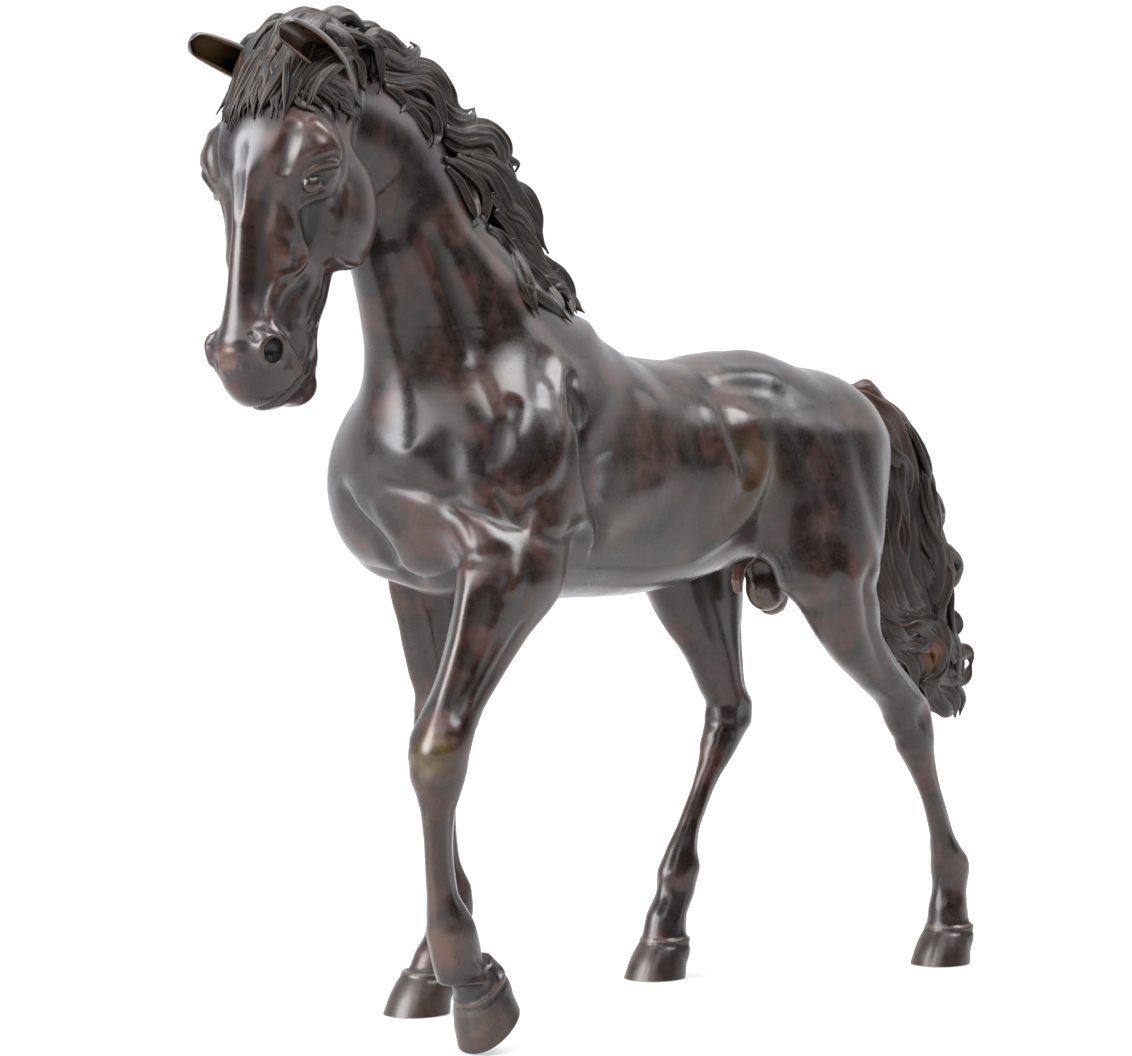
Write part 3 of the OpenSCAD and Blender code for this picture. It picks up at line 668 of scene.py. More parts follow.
    # muzzle: lips, corner of the mouth, wrinkles
    L([(11.5, -46, 310), (13, -49, 304), (14.5, -55, 298), (14.8, -58, 292), (14, -62, 286), (12, -66, 281), (6, -72, 277.5), (0, -74, 276.5)], 4.2, 1.7, ends=0.04)
    L([(14, -54, 303), (15.5, -61, 298), (16, -64, 292), (15, -68, 286), (11, -76, 281)], -0.8, 1.8)
    L([(12, -44, 311), (14, -49, 312), (15, -55, 310)], -1.0, 1.4)
    L([(12.5, -47, 307), (14, -52, 308)], 0.8, 1.0)
    L([(12, -45, 300), (13, -50, 293), (12, -55, 286)], -0.6, 1.6)
    B((11, -42, 296), (4, 6, 6), 0.8)
    for x0, y0, z0, x1, z1 in ((-3, -93, 296, -1, 287), (1, -93, 295, 2, 288), (5, -92, 294, 4, 288), (9, -90, 294.5, 8, 289), (13, -87, 295, 12, 290), (-8, -91, 296, -6, 289), (-12, -88, 296, -10, 290)):
        L([(x0, y0, z0), ((x0 + x1) / 2, y0 + 0.5, (z0 + z1) / 2), (x1, y0 + 1, z1)], 0.55, 0.8, both=False)
    L([(-10, -90, 299), (0, -94, 298), (10, -90, 298)], -0.5, 1.6, both=False)
    L([(-9, -88, 288), (0, -91, 287), (9, -88, 288)], 0.35, 2.4, both=False)


FOOT_ROWS = [[26, 0, 7, 9.5, 10.5, 11, 2], [19, 0, 6.5, 11.3, 12.5, 12.5, 2.1], [16, 0, 5, 12.3, 13.6, 13, 2.1], [8, 0, 1.5, 13.6, 15.4, 14, 2.2], [0, 0, -1, 14.5, 16.5, 14.8, 2.2],
             [-6, 0, -3, 15, 17, 15, 2.2]]
FLEX = math.radians(41)
LF_TOE = np.array([46.5, -168.0, 0.0])      # toe of the flexed hoof, on the ground
LF_FOOT = np.array([[1, 0, 0], [0, math.cos(FLEX), -math.sin(FLEX)], [0, math.sin(FLEX), math.cos(FLEX)]])   # columns: across, back along the sole, up from the sole


def hoof(F, x, y):
    """A hoof standing flat: wall flares from coronet to ground, coronet band rolls over its top edge."""
    rows = [[r[0], x, y + r[2]] + r[3:] for r in FOOT_ROWS[1:]]
    lo, hi = limb_box(rows)
    F.apply(lo, hi, lambda X, Y, Z: tube_z(rows, X, Y, Z), 1.0)
    for m in (1, -1):
        F.ball((x + m * 6, y + 9.5, 14), (6, 5.5, 8), (0, 0, 0), 2.5)                # heel bulbs


def flexed_hoof(F):
    rows = [list(r) for r in FOOT_ROWS]

    def fn(X, Y, Z):
        y, z = Y - LF_TOE[1], Z - LF_TOE[2]
        x = X - LF_TOE[0]
        a = LF_FOOT[1, 1] * y + LF_FOOT[2, 1] * z - 17.5
        b = LF_FOOT[1, 2] * y + LF_FOOT[2, 2] * z
        return tilted(rows, x, a, b)
    F.apply([29, -192, -10], [64, -132, 46], fn, 2.0, pad=2)
    fr = (LF_TOE, LF_FOOT)
    for m in (1, -1):
        F.ball((m * 6, 27, 15), (6, 5.5, 8.5), (0, 0, 0), 2, frame=fr)                # heel bulbs
    F.ball((0, 24.5, 25), (8, 6, 7), (0, 0, 0), 3, frame=fr)                          # fold above the heels


def tilted(rows, x, a, b):
    """tube_z for coordinates that don't follow the grid axes."""
    s = np.array(rows, float)[::-1]
    z = np.clip(b, s[0, 0], s[-1, 0])
    cx, cy, rx, fr, bk, n = [np.interp(z, s[:, 0], s[:, i]) for i in range(1, 7)]
    dy = a - cy
    ry = np.where(dy < 0, fr, bk)
    ax, ay = np.abs(x - cx) / rx + 1e-4, np.abs(dy) / ry + 1e-4
    N = (ax**n + ay**n)**(1 / n)
    g = np.sqrt((ax**(n - 1) / rx)**2 + (ay**(n - 1) / ry)**2) / N**(n - 1)
    d = (N - 1) / g
    over = np.maximum(np.maximum(s[0, 0] - b, b - s[-1, 0]), 0)
    return np.where(over > 0, np.sqrt(np.maximum(d, 0)**2 + over**2), d)


def build_body(relief=True):
    F = Field([-76, -215, -6], [76, 222, 436], H_BODY)
    F.apply([-58, -180, 185], [58, 160, 330], lambda X, Y, Z: tube_y(TORSO, Y, Z, X), 0)
    F.ball((0, -137, 249), (54, 38, 45), (0, 0, 0), 16)                 # breast
    F.ball((0, -143, 281), (20, 22, 24), (0, 0, 0), 12)                 # root of the neck
    F.ball((-38, -137, 245), (20, 25, 36), (0, 0, 0), 20)              # right breast stands out further
    F.ball((0, 117, 266), (45, 42, 37), (0, 0, 0), 12)                  # buttocks
    F.ball((0, 145, 286), (14, 16, 14), (0, 0, 0), 12)                  # dock
    add_neck(F, 26)
    for s, k in ((LF, 14), (RF, 14), (LH, 18), (RH, 18)):
        lo, hi = limb_box(s)
        F.apply(lo, hi, lambda X, Y, Z, s=s: tube_z(s, X, Y, Z), k)
    for (x, y) in ((-47, -107), (38, 189), (-38, 51)):
        hoof(F, x, y)
    flexed_hoof(F)
    head_forms(F)
    F.soften((6, -173, 273), 34, 26)
    F.soften((-24, -165, 268), 26, 16)
    F.soften((0, 138, 232), 36, 20)
    if relief:
        neck_relief(F)
        body_relief(F)
        F.soften((13, -175, 276), 17, 20)
        F.soften((58, -158, 216), 15, 7)
    return F


def neck_relief(F):
    L, B = soft_tools(F, 1.0, 1.45)
    # left side: throat groove, the long muscle beside it, the strap behind
    L([(21, -171, 360), (23, -162, 343), (24, -156, 327), (26, -150, 311), (29, -143, 297)], 2.6, 3.6, 5.0)
    L([(18, -176, 358), (19, -168, 339), (21, -159, 318), (25, -153, 298)], -1.7, 3.6)
    L([(23, -164, 357), (25, -154, 340), (29, -144, 323), (33, -138, 307)], -1.6, 4.5)
    L([(12, -183, 352), (11, -176, 337), (12, -170, 320)], -0.9, 3)
    # right side, the same muscles less deeply cut
    L([(-21, -171, 360), (-23, -162, 343), (-24, -156, 327), (-26, -150, 311)], 2.0, 3.6, 5.0)
    L([(-23, -164, 357), (-25, -154, 340), (-29, -144, 323), (-33, -138, 307)], -1.4, 4.5)
    L([(-18, -176, 358), (-19, -168, 339), (-21, -159, 318), (-25, -153, 298)], -1.4, 3.6)
    F.bump((23, -122, 335), (9, 12, 26), 1.6, (-35, 0, 0), both=True)
    F.bump((27, -110, 330), (8, 9, 20), -1.2, (-35, 0, 0), both=True)
    F.bump((25, -140, 372), (7, 9, 14), -1.0, (-35, 0, 0), both=True)


def limb_point(S, m, z, ang):
    """A point on a limb's surface at height z; ang is 0 at the front, 90 on the outer side (m = 1 for a left leg)."""
    s = np.array(S, float)[::-1]
    cx, cy, rx, fr, bk = [float(np.interp(z, s[:, 0], s[:, i])) for i in range(1, 6)]
    a = math.radians(ang)
    return (cx + m * math.sin(a) * rx, cy - math.cos(a) * (fr if math.cos(a) > 0 else bk), z)


def leg_relief(F):
    for S, m, fore in ((LF, 1, 1), (RF, -1, 1), (LH, 1, 0), (RH, -1, 0)):
        def P(*za):
            return [limb_point(S, m, z, a) for z, a in za]

        def line(za, h, w, **k):
            F.line(P(*za), h * 0.85, w * 1.3, **k)

        def bump(z, a, rad, h):
            F.bump(limb_point(S, m, z, a), rad, h)
        if fore:
            line([(212, 4), (199, 7), (183, 10), (167, 12), (153, 15), (140, 17), (133, 17)], -1.5, 2.4)
            line([(205, 22), (190, 26), (170, 30), (153, 36), (144, 38)], 0.9, 3.4)
            line([(214, 64), (200, 62), (187, 62), (176, 68)], -1.5, 3.8)
            line([(205, 38), (185, 42), (166, 46), (153, 48), (143, 50)], 1.2, 3.0)
            line([(184, 74), (163, 74), (151, 62), (141, 57)], 1.3, 1.7)
            line([(182, 88), (165, 84), (153, 73), (144, 68)], -0.8, 1.7)
            line([(190, 102), (168, 96), (154, 88), (146, 88)], 1.2, 1.8)
            line([(200, 135), (175, 130), (155, 118), (146, 112)], -1.0, 2.4)
            line([(205, -20), (185, -28), (165, -34), (148, -36)], 1.0, 2.6)
            line([(205, -75), (185, -78), (165, -78), (148, -72)], 1.1, 2.6)
            line([(200, -120), (178, -120), (158, -112)], 0.9, 2.4)
            line([(190, -50), (170, -54), (152, -54)], -0.8, 3.2)
            # knee: two rows of small bones, tendon sheath in front, the bone behind
            bump(132, 12, (6, 4, 5), 0.9)
            bump(131, 78, (4, 5, 6), 0.9)
            bump(131, -70, (4, 5, 6), 0.9)
            line([(139, 70), (137, 48), (139, 30)], 0.7, 1.6)
            line([(126, -70), (125.5, 0), (126, 70)], 0.55, 1.7)
            line([(133, -75), (132.5, -30)], 0.45, 1.6)
            bump(136, 172, (5, 4, 6), 2.0)
            line([(142, 140), (134, 138), (124, 145)], 1.0, 2.0)
            line([(142, -140), (134, -138), (124, -145)], 1.0, 2.0)
            line([(120, -80), (118.5, 0), (120, 80)], -0.7, 2.6)
            bump(116, 0, (5, 3, 4), 0.8)
        else:
            line([(214, 50), (202, 46), (190, 38), (178, 22), (164, 8), (150, 4)], -1.1, 3.0)
            line([(208, 66), (192, 60), (176, 44), (162, 30)], 1.2, 3.6)
            line([(212, 122), (200, 110), (186, 96), (171, 90), (156, 76), (144, 64)], 1.6, 3.0)
            line([(205, 84), (188, 76), (170, 62), (156, 48)], -0.9, 3.6)
            line([(180, 140), (165, 132), (150, 126), (140, 128)], 1.5, 2.6)
            line([(180, -140), (165, -132), (150, -126), (140, -128)], 1.5, 2.6)
            line([(205, -60), (185, -66), (165, -66), (148, -60)], 1.0, 3.2)
            line([(190, 172), (170, 172), (150, 174)], -0.9, 3.0)
            # hock: its point, the hollow in front of it, the small bones
            bump(136, 176, (5, 5, 7), 1.8)
            bump(130, 92, (5, 5, 6), -1.3)
            bump(130, -92, (5, 5, 6), -1.0)
            bump(127, 40, (5, 6, 6), 1.0)
            bump(127, -40, (5, 6, 6), 1.0)
            line([(134, 62), (126, 84), (117, 112)], 0.7, 1.8)
            line([(120, -80), (118, 0), (120, 80)], 0.6, 2.0)
            line([(114, -70), (112, 0), (114, 70)], -0.5, 2.2)
            line([(144, 160), (130, 158), (118, 156)], -0.7, 2.0)
        # cannon: tendon in front, splint groove, the two tendons behind
        top = 112 if fore else 106
        bot = 62 if fore else 60
        line([(top, 8), (90, 6), (bot + 4, 10), (bot - 12, 4)], -0.6, 2.0)
        for q in (1, -1):
            line([(top + 2, q * 98), (92, q * 102), (74, q * 106), (bot - 2, q * 112)], 1.0, 1.6)
            line([(top + 2, q * 135), (92, q * 136), (74, q * 138), (bot - 4, q * 146)], 0.9, 1.4)
            bump(bot - 6, q * 132, (4, 4, 5), 0.9)
            line([(bot - 14, q * 60), (38, q * 62), (29, q * 66)], 0.7, 2.0)
            line([(bot - 8, q * 28), (40, q * 26), (29, q * 28)], 0.45, 1.8)
        bump(bot - 12, 180, (5, 4, 5), 0.9)
        line([(bot - 10, -80), (bot - 9, 0), (bot - 10, 80)], -0.5, 3.0)
    # coronet bands and the lips of the hooves
    for x, y in ((-47, -107), (38, 189), (-38, 51)):
        ring = [(x + 11.8 * math.sin(a), y + 5.8 - (13 if math.cos(a) > 0 else 13) * math.cos(a), 18.6) for a in np.linspace(-2.75, 2.75, 26)]
        F.line(ring, -0.75, 1.3, ends=0.05)
        F.line([(a, b, c - 2.2) for a, b, c in ring], 0.7, 0.9, ends=0.05)
        F.line([(x, y + 17, 14), (x, y + 15, 8), (x, y + 14.5, 1)], 1.6, 2.0, ends=0)
    ring = [(11.8 * math.sin(a), 17.5 + 5.8 - 13 * math.cos(a), 18.6) for a in np.linspace(-2.6, 2.6, 26)]
    F.line(ring, -0.75, 1.3, ends=0.05, frame=(LF_TOE, LF_FOOT))
    F.line([(a, b, c - 2.2) for a, b, c in ring], 0.7, 0.9, ends=0.05, frame=(LF_TOE, LF_FOOT))
    F.line([(56, -175, 43), (57, -167, 39), (58, -164, 33), (56, -167, 27), (51, -171, 26)], 1.1, 1.5)
    F.line([(54, -180, 33), (56, -175, 35), (57, -168, 34)], 0.9, 1.4)
    F.line([(36, -175, 43), (35, -167, 39), (34, -164, 33), (37, -167, 27)], 1.0, 1.5)
    F.line([(46, -150, 22), (46, -146, 14)], 1.5, 2.2, ends=0)


def soft_tools(F, dh, dw):
    def L(pts, h, w, w2=None, ends=0.2, **k):
        F.line(pts, h * dh, w * dw, w2 and w2 * dw, ends, **k)

    def B(c, rad, h, rot=(0, 0, 0), **k):
        F.bump(c, [a * (1 + dw) / 2 for a in rad], h, rot, **k)
    return L, B


def body_relief(F):
    L, B = soft_tools(F, 1.3, 1.2)
    LR, BR = soft_tools(F, 0.85, 1.7)
    leg_relief(F)
    # breast
    L([(-30, -169, 249), (-23, -171, 233), (-11, -167, 220), (-11, -154, 207), (0, -147, 199)], 2.4, 3.4, 4.6, 0.2)
    L([(-4, -175, 244), (-2, -173, 231), (3, -167, 220)], -1.0, 3.6)
    B((-14, -173, 243), (8, 5, 11), 1.0)
    B((21, -167, 234), (9, 6, 9), 2.0)
    B((42, -165, 227), (14, 7, 7), 2.4, (0, 12, 0))
    L([(31, -165, 246), (40, -162, 236), (53, -155, 229), (59, -152, 224)], 1.7, 3.4, 2.8)
    L([(27, -160, 211), (40, -163, 213), (53, -168, 213), (61, -155, 217)], 1.8, 3.2, 2.6)
    B((33, -165, 253), (5, 5, 11), -2.6, (0, -12, 0))
    B((13, -173, 259), (12, 6, 11), 2.0)
    L([(0, -176, 248), (14, -175, 245), (27, -169, 242), (36, -164, 238)], 1.5, 3.2)
    B((-26, -166, 250), (20, 10, 22), 0.7)
    # point of shoulder, creases in the elbow of the breast
    L([(48, -154, 244), (52, -151, 235), (59, -150, 225)], 1.6, 2.4, both=False)
    L([(55, -138, 239), (56, -144, 232), (59, -150, 225)], 1.2, 2.2)
    L([(62, -151, 219), (64, -158, 206), (63, -163, 195)], -0.8, 4.0)
    L([(45, -156, 249), (46, -152, 260), (46, -144, 273), (42, -138, 284)], 2.0, 3.2, 4.2)
    L([(48, -153, 243), (52, -146, 241), (53, -134, 248)], -1.2, 3.0)
    for m in (1, -1):
        def P(*pts):
            return [(m * a, b, c) for a, b, c in pts]
        L(P((44, -118, 296), (48, -122, 284), (52, -123, 265), (53, -128, 252), (54, -138, 241)), -1.5, 4.2)
        L(P((43, -102, 304), (49, -112, 288), (52, -119, 272), (53, -124, 260)), -1.5, 3.2)
        L(P((40, -111, 308), (45, -121, 292), (49, -126, 278)), 0.9, 4.4)
        L(P((44, -101, 299), (50, -107, 283), (53, -109, 270)), 1.6, 3.4)
        # triceps: stands off the ribs
        w = (1.8, 7.0) if m > 0 else (7.0, 1.8)
        L(P((46, -110, 292), (50, -107, 283), (53, -109, 270), (54, -107, 252), (52, -100, 239), (47, -90, 230), (43, -84, 221), (38, -84, 213)), -1.3, *w, ends=0.12)
        L(P((47, -106, 290), (51, -103, 283), (54, -105, 270), (55, -103, 252), (53, -96, 240), (48, -86, 231), (43, -80, 221), (38, -80, 213)), 2.3, 3.0, ends=0.12)
        B((m * 53, -116, 256), (6, 10, 15), 1.5)
        B((m * 58, -126, 232), (6, 11, 8), 1.6)
        L(P((61, -145, 224), (62, -129, 221), (56, -108, 222), (43, -94, 220)), 1.4, 3.0)
        # ribs and flank
        BR((m * 42, -38, 285), (7, 12, 17), 1.4, (20, 0, 0))
        LR(P((51, -85, 260), (51, -83, 250), (50, -88, 240)), 1.4, 4.0)
        LR(P((45, -84, 225), (47, -70, 234), (48, -53, 241), (48, -36, 243)), -1.3, 4.2)
        LR(P((40, -84, 214), (42, -66, 222), (44, -48, 228), (44, -30, 230)), 1.0, 4.0)
        LR(P((38, 5, 292), (43, -1, 282), (48, 0, 269), (49, 5, 256), (48, 15, 240)), -1.6, 3.6)
        LR(P((42, 13, 288), (47, 10, 272), (49, 15, 256), (49, 20, 244)), 1.9, 4.2)
        for y, zt, zb in ((-20, 272, 235), (-33, 270, 238), (-8, 270, 236)):
            LR(P((48, y, zt), (49, y + 3, (zt + zb) / 2), (48, y + 8, zb)), 0.55, 3.4)
        # croup shelf, hip
        LR(P((30, 8, 302), (31, 22, 305), (33, 38, 306), (37, 52, 303), (42, 60, 297)), -1.9, 4.2)
        BR((m * 40, 29, 292), (8, 17, 7), -3.2)
        BR((m * 46, 21, 278), (7, 10, 10), 3.0)
        LR(P((40, 54, 297), (48, 55, 278), (51, 61, 264), (54, 69, 247)), 1.1, 4.4)
        LR(P((47, 62, 283), (51, 64, 268), (54, 73, 257), (56, 78, 242), (55, 80, 226)), -1.0, 4.6)
        LR(P((50, 32, 266), (50, 27, 249), (47, 23, 237), (44, 16, 228), (40, 4, 218), (34, -7, 210)), -1.9, 3.2, 4.4)
        LR(P((49, 40, 273), (50, 38, 254), (48, 34, 240), (46, 28, 229)), 1.7, 4.0)
        LR(P((48, 20, 262), (46, 14, 245), (42, 4, 232)), 1.0, 4.0)
        BR((m * 52, 54, 249), (6, 13, 17), 1.6)
        LR(P((50, 95, 279), (55, 99, 257), (55, 104, 240), (54, 108, 222), (50, 112, 205), (44, 118, 188)), 1.1, 4.6)
        LR(P((52, 84, 275), (57, 88, 257), (57, 92, 240), (55, 96, 222)), -0.7, 6)
        LR(P((42, 122, 272), (45, 125, 255), (45, 127, 238), (42, 128, 220)), 0.7, 4.6)
        LR(P((52, 63, 262), (55, 71, 245), (57, 73, 232)), 0.6, 4.2)
    # spine: shallow furrow over the croup, dock
    L([(0, 40, 312), (0, 80, 314), (0, 120, 308)], 1.2, 6.0)
    L([(0, -45, 322), (0, -10, 312), (0, 25, 309)], -0.8, 5.0)
    # cleft of the buttocks and the seam between the thighs
    L([(0, 158, 285), (0, 158, 260), (0, 146, 225), (0, 120, 200)], 3.5, 5.0, ends=0.1)


# ------------------------------------------------------------------ meshes to pieces
def to_part(v):
    return (np.asarray(v) + SHIFT) / 1000.0


def new_mesh(name, verts_mm, loops, sizes, wear=None, loop_normals=None):
    """A mesh from flat arrays; the per-point value for the material runs from 0 in crevices (painted shade) to 1 on
    ridges (rubbed).
    """
    me = bpy.data.meshes.new(name)
    me.vertices.add(len(verts_mm))
    me.vertices.foreach_set("co", to_part(verts_mm).astype(np.float32).ravel())
    me.loops.add(len(loops))
    me.loops.foreach_set("vertex_index", np.asarray(loops, np.int32))
    me.polygons.add(len(sizes))
    sizes = np.asarray(sizes, np.int32)
    me.polygons.foreach_set("loop_start", np.r_[0, np.cumsum(sizes)[:-1]].astype(np.int32))
    me.update(calc_edges=True)
    me.shade_smooth()
    if wear is not None:
        a = me.attributes.new("wear", "FLOAT", "POINT")
        a.data.foreach_set("value", np.clip(wear, 0, 1).astype(np.float32))
    if loop_normals is not None:
        me.normals_split_custom_set(loop_normals.tolist())
    return me


def as_piece(name, me, node, mat):
    me.materials.append(mat)
    o = bpy.data.objects.new(name, me)
    bpy.context.scene.collection.objects.link(o)
    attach(o, "root")
    if node:
        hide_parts(*([node] if isinstance(node, str) else node))
    return o


def cut_piece(F, name, lo, hi, planes, node, mat):
    """The part of a field's surface inside a box and behind the planes (point, outward normal), capped and shaded like the whole."""
    v, q = F.mesh(lo, hi)
    planes = [(np.array(c, float), np.array(n, float)) for c, n in planes]
    keep = np.ones(len(q), bool)
    for c, n in planes:
        keep &= ((v[q] - c) @ n < 0).any(1)
    q = q[keep]
    used, inv = np.unique(q.ravel(), return_inverse=True)
    tmp = bpy.data.meshes.new("tmp")
    tmp.from_pydata(v[used].tolist(), [], inv.reshape(-1, 4).tolist())
    bm = bmesh.new()
    bm.from_mesh(tmp)
    bpy.data.meshes.remove(tmp)
    caps = []
    for c, n in planes:
        r = bmesh.ops.bisect_plane(bm, geom=bm.verts[:] + bm.edges[:] + bm.faces[:], dist=1e-5, plane_co=Vector(c), plane_no=Vector(n), clear_outer=True)
        edges = [e for e in r["geom_cut"] if isinstance(e, bmesh.types.BMEdge)]
        if edges:
            new = bmesh.ops.holes_fill(bm, edges=edges, sides=0)["faces"]
            caps += new
    flat = set(f for f in caps if f.is_valid)
    bm.verts.index_update()
    vv = np.array([x.co[:] for x in bm.verts])
    nn = F.normals(vv)
    loops, sizes, ln = [], [], []
    for f in bm.faces:
        idx = [x.index for x in f.verts]
        loops += idx
        sizes.append(len(idx))
        if f in flat:
            fn = np.array(f.normal)
            ln.append(np.repeat(fn[None], len(idx), 0))
        else:
            ln.append(nn[idx])
    bm.free()
    # curvature per point: the patina rubs the ridges and paints shade into the creases
    wear = 0.5 + 1.8 * F.curve(vv, 2.4)
    me = new_mesh(name, vv, loops, sizes, wear, np.concatenate(ln))
    return as_piece(name, me, node, mat)


# ------------------------------------------------------------------ patina, with painted shade in the crevices
def nodes_of(m):
    m.use_nodes = True
    nt = m.node_tree
    return nt, nt.nodes["Principled BSDF"]


def noise(nt, vec, scale, detail=4.0, rough=0.55, dist=0.0):
    n = nt.nodes.new("ShaderNodeTexNoise")
    n.inputs["Scale"].default_value = scale
    n.inputs["Detail"].default_value = detail
    n.inputs["Roughness"].default_value = rough
    n.inputs["Distortion"].default_value = dist
    nt.links.new(vec, n.inputs["Vector"])
    return n.outputs["Fac"]


def remap(nt, x, a, b, c=0.0, d=1.0):
    n = nt.nodes.new("ShaderNodeMapRange")
    n.interpolation_type = "SMOOTHSTEP"
    nt.links.new(x, n.inputs["Value"])
    for k, v in zip(("From Min", "From Max", "To Min", "To Max"), (a, b, c, d)):
        n.inputs[k].default_value = v
    return n.outputs["Result"]


def mixc(nt, fac, a, b, mode="MIX"):
    n = nt.nodes.new("ShaderNodeMix")
    n.data_type = "RGBA"
    n.blend_type = mode
    if isinstance(fac, (int, float)):
        n.inputs[0].default_value = fac
    else:
        nt.links.new(fac, n.inputs[0])
    for s, v in ((n.inputs[6], a), (n.inputs[7], b)):
        if isinstance(v, tuple):
            s.default_value = (*v, 1)
        else:
            nt.links.new(v, s)
    return n.outputs[2]


def calc(nt, op, a, b):
    n = nt.nodes.new("ShaderNodeMath")
    n.operation = op
    for s, v in zip(n.inputs, (a, b)):
        if isinstance(v, (int, float)):
            s.default_value = v
        else:
            nt.links.new(v, s)
    return n.outputs[0]


def spot(nt, pos, centre, radius, soft=0.5):
    """1 inside a ball round a point of the part (mm in the sculpting frame), fading out."""
    d = nt.nodes.new("ShaderNodeVectorMath")
    d.operation = "DISTANCE"
    nt.links.new(pos, d.inputs[0])
    d.inputs[1].default_value = tuple(to_part(centre))
    return remap(nt, d.outputs["Value"], radius * soft / 1000, radius / 1000, 1.0, 0.0)


def patina(name, dark, warm, cool, worn, rough=0.29, metal=0.18, coat=0.24, grain=1.0, crevice=0.3, wear_lo=0.55, wear_hi=0.95, wear_amt=0.8, spots=(), seed=0.0, spec=0.5):
    m = bpy.data.materials.new(name)
    nt, b = nodes_of(m)
    tc = nt.nodes.new("ShaderNodeTexCoord")
    mp = nt.nodes.new("ShaderNodeMapping")
    mp.inputs["Location"].default_value = (seed, seed * 0.7, -seed)
    nt.links.new(tc.outputs["Object"], mp.inputs["Vector"])
    vec = mp.outputs["Vector"]
    big = noise(nt, vec, 16, 3, 0.6, 0.6)
    mid = noise(nt, vec, 48, 5, 0.6, 0.3)
    fine = noise(nt, vec, 260, 4, 0.6)
    grit = noise(nt, vec, 1100, 3, 0.5)
    col = mixc(nt, remap(nt, mid, 0.42, 0.66), dark, warm)
    col = mixc(nt, remap(nt, big, 0.46, 0.64, 0.0, 0.75), col, cool)
    speck = mixc(nt, remap(nt, fine, 0.35, 0.7), (0.72, 0.70, 0.68), (1.18, 1.16, 1.14))
    col = mixc(nt, 0.8, col, speck, "MULTIPLY")
    for centre, radius, tint, amount in spots:
        f = calc(nt, "MULTIPLY", spot(nt, tc.outputs["Object"], centre, radius, 0.25), remap(nt, mid, 0.36, 0.6, 0.3, amount))
        col = mixc(nt, f, col, tint)
    # curvature value per point: the ridges get the rubbed colour, the creases get painted shade
    at = nt.nodes.new("ShaderNodeAttribute")
    at.attribute_name = "wear"
    wear = at.outputs["Fac"]
    rub = calc(nt, "MULTIPLY", remap(nt, wear, wear_lo, wear_hi), remap(nt, mid, 0.3, 0.62, 0.35, wear_amt))
    col = mixc(nt, rub, col, worn)
    # painted shade: creases and hollows mixed towards near-black (crevice holds some of it back); the same mask also
    # roughens them
    crevice_shade_mask = remap(nt, wear, 0.02, 0.38, 1.0, 0.0)
    col = mixc(nt, calc(nt, "MULTIPLY", crevice_shade_mask, 1 - crevice), col, (0.008, 0.006, 0.005))
    nt.links.new(col, b.inputs["Base Color"])
    rg = calc(nt, "ADD", remap(nt, mid, 0.3, 0.7, rough - 0.05, rough + 0.08), calc(nt, "MULTIPLY", crevice_shade_mask, 0.25))
    rg = calc(nt, "ADD", rg, remap(nt, fine, 0.3, 0.7, -0.02, 0.03))
    nt.links.new(rg, b.inputs["Roughness"])
    b.inputs["Metallic"].default_value = metal
    b.inputs["Coat Weight"].default_value = coat
    b.inputs["Specular IOR Level"].default_value = spec
    b.inputs["Coat Roughness"].default_value = 0.15
    bp = nt.nodes.new("ShaderNodeBump")
    bp.inputs["Strength"].default_value = 0.16 * grain
    bp.inputs["Distance"].default_value = 0.0004
    h = calc(nt, "ADD", calc(nt, "MULTIPLY", fine, 0.8), calc(nt, "MULTIPLY", grit, 0.22))
    nt.links.new(h, bp.inputs["Height"])
    nt.links.new(bp.outputs["Normal"], b.inputs["Normal"])
    return m


DARK, WARM, COOL = (0.014, 0.0076, 0.0060), (0.050, 0.0212, 0.0150), (0.020, 0.0160, 0.0190)
OCHRE, COPPER = (0.11, 0.065, 0.015), (0.30, 0.11, 0.04)
BRONZE = patina("bronze_patina", DARK, WARM, COOL, (0.10, 0.055, 0.035), wear_lo=0.74, wear_hi=1.2, wear_amt=0.3, spots=[
    ((51, -197, 131), 14, OCHRE, 0.7), ((52, -70, 222), 24, (0.07, 0.042, 0.013), 0.6), ((48, 24, 250), 28, (0.08, 0.045, 0.015), 0.6),
    ((29, -140, 351), 3.2, COPPER, 1.0), ((44, 160, 136), 14, (0.12, 0.05, 0.022), 0.6), ((50, -183, 48), 16, (0.10, 0.05, 0.032), 0.6)])
# head spots: warm tints on the muzzle and by the nostril; painted shade in the eye, in the hollow under it and in the
# corner of the mouth (near-black), and in the groove above the eye (dark brown); a broad warm brown over the face
SKIN = patina("bronze_head", DARK, WARM, COOL, (0.12, 0.065, 0.04), wear_lo=0.8, wear_hi=1.3, wear_amt=0.35, seed=0.13, spots=[
    ((3, -283, 298), 8, (0.11, 0.05, 0.022), 0.5), ((18, -280, 297), 9, (0.12, 0.055, 0.025), 0.6), ((38, -252, 369.5), 7.5, (0.007, 0.005, 0.005), 0.8), ((36, -247, 352), 9, (0.009, 0.006, 0.005), 0.75),
    ((24, -238, 291), 11, (0.009, 0.007, 0.007), 0.7), ((32, -261, 380), 7, (0.030, 0.013, 0.007), 0.7), ((6, -270, 340), 34, (0.055, 0.025, 0.016), 0.6)])
HAIR = patina("bronze_hair", (0.007, 0.0055, 0.0054), (0.014, 0.0085, 0.0068), (0.011, 0.0098, 0.011), (0.17, 0.105, 0.055), rough=0.38, coat=0.06, spec=0.3, crevice=0.1, wear_lo=0.66, wear_hi=1.0, wear_amt=0.55, seed=0.31)
TAILM = patina("bronze_tail", (0.010, 0.0064, 0.0052), (0.026, 0.012, 0.0078), (0.012, 0.010, 0.011), (0.14, 0.08, 0.045), rough=0.38, coat=0.06, spec=0.34, crevice=0.12, wear_lo=0.66, wear_hi=1.0, wear_amt=0.5, seed=0.47,
               spots=[((0, 178, 290), 34, (0.07, 0.028, 0.016), 0.7), ((8, 218, 158), 12, (0.18, 0.07, 0.028), 0.8)])
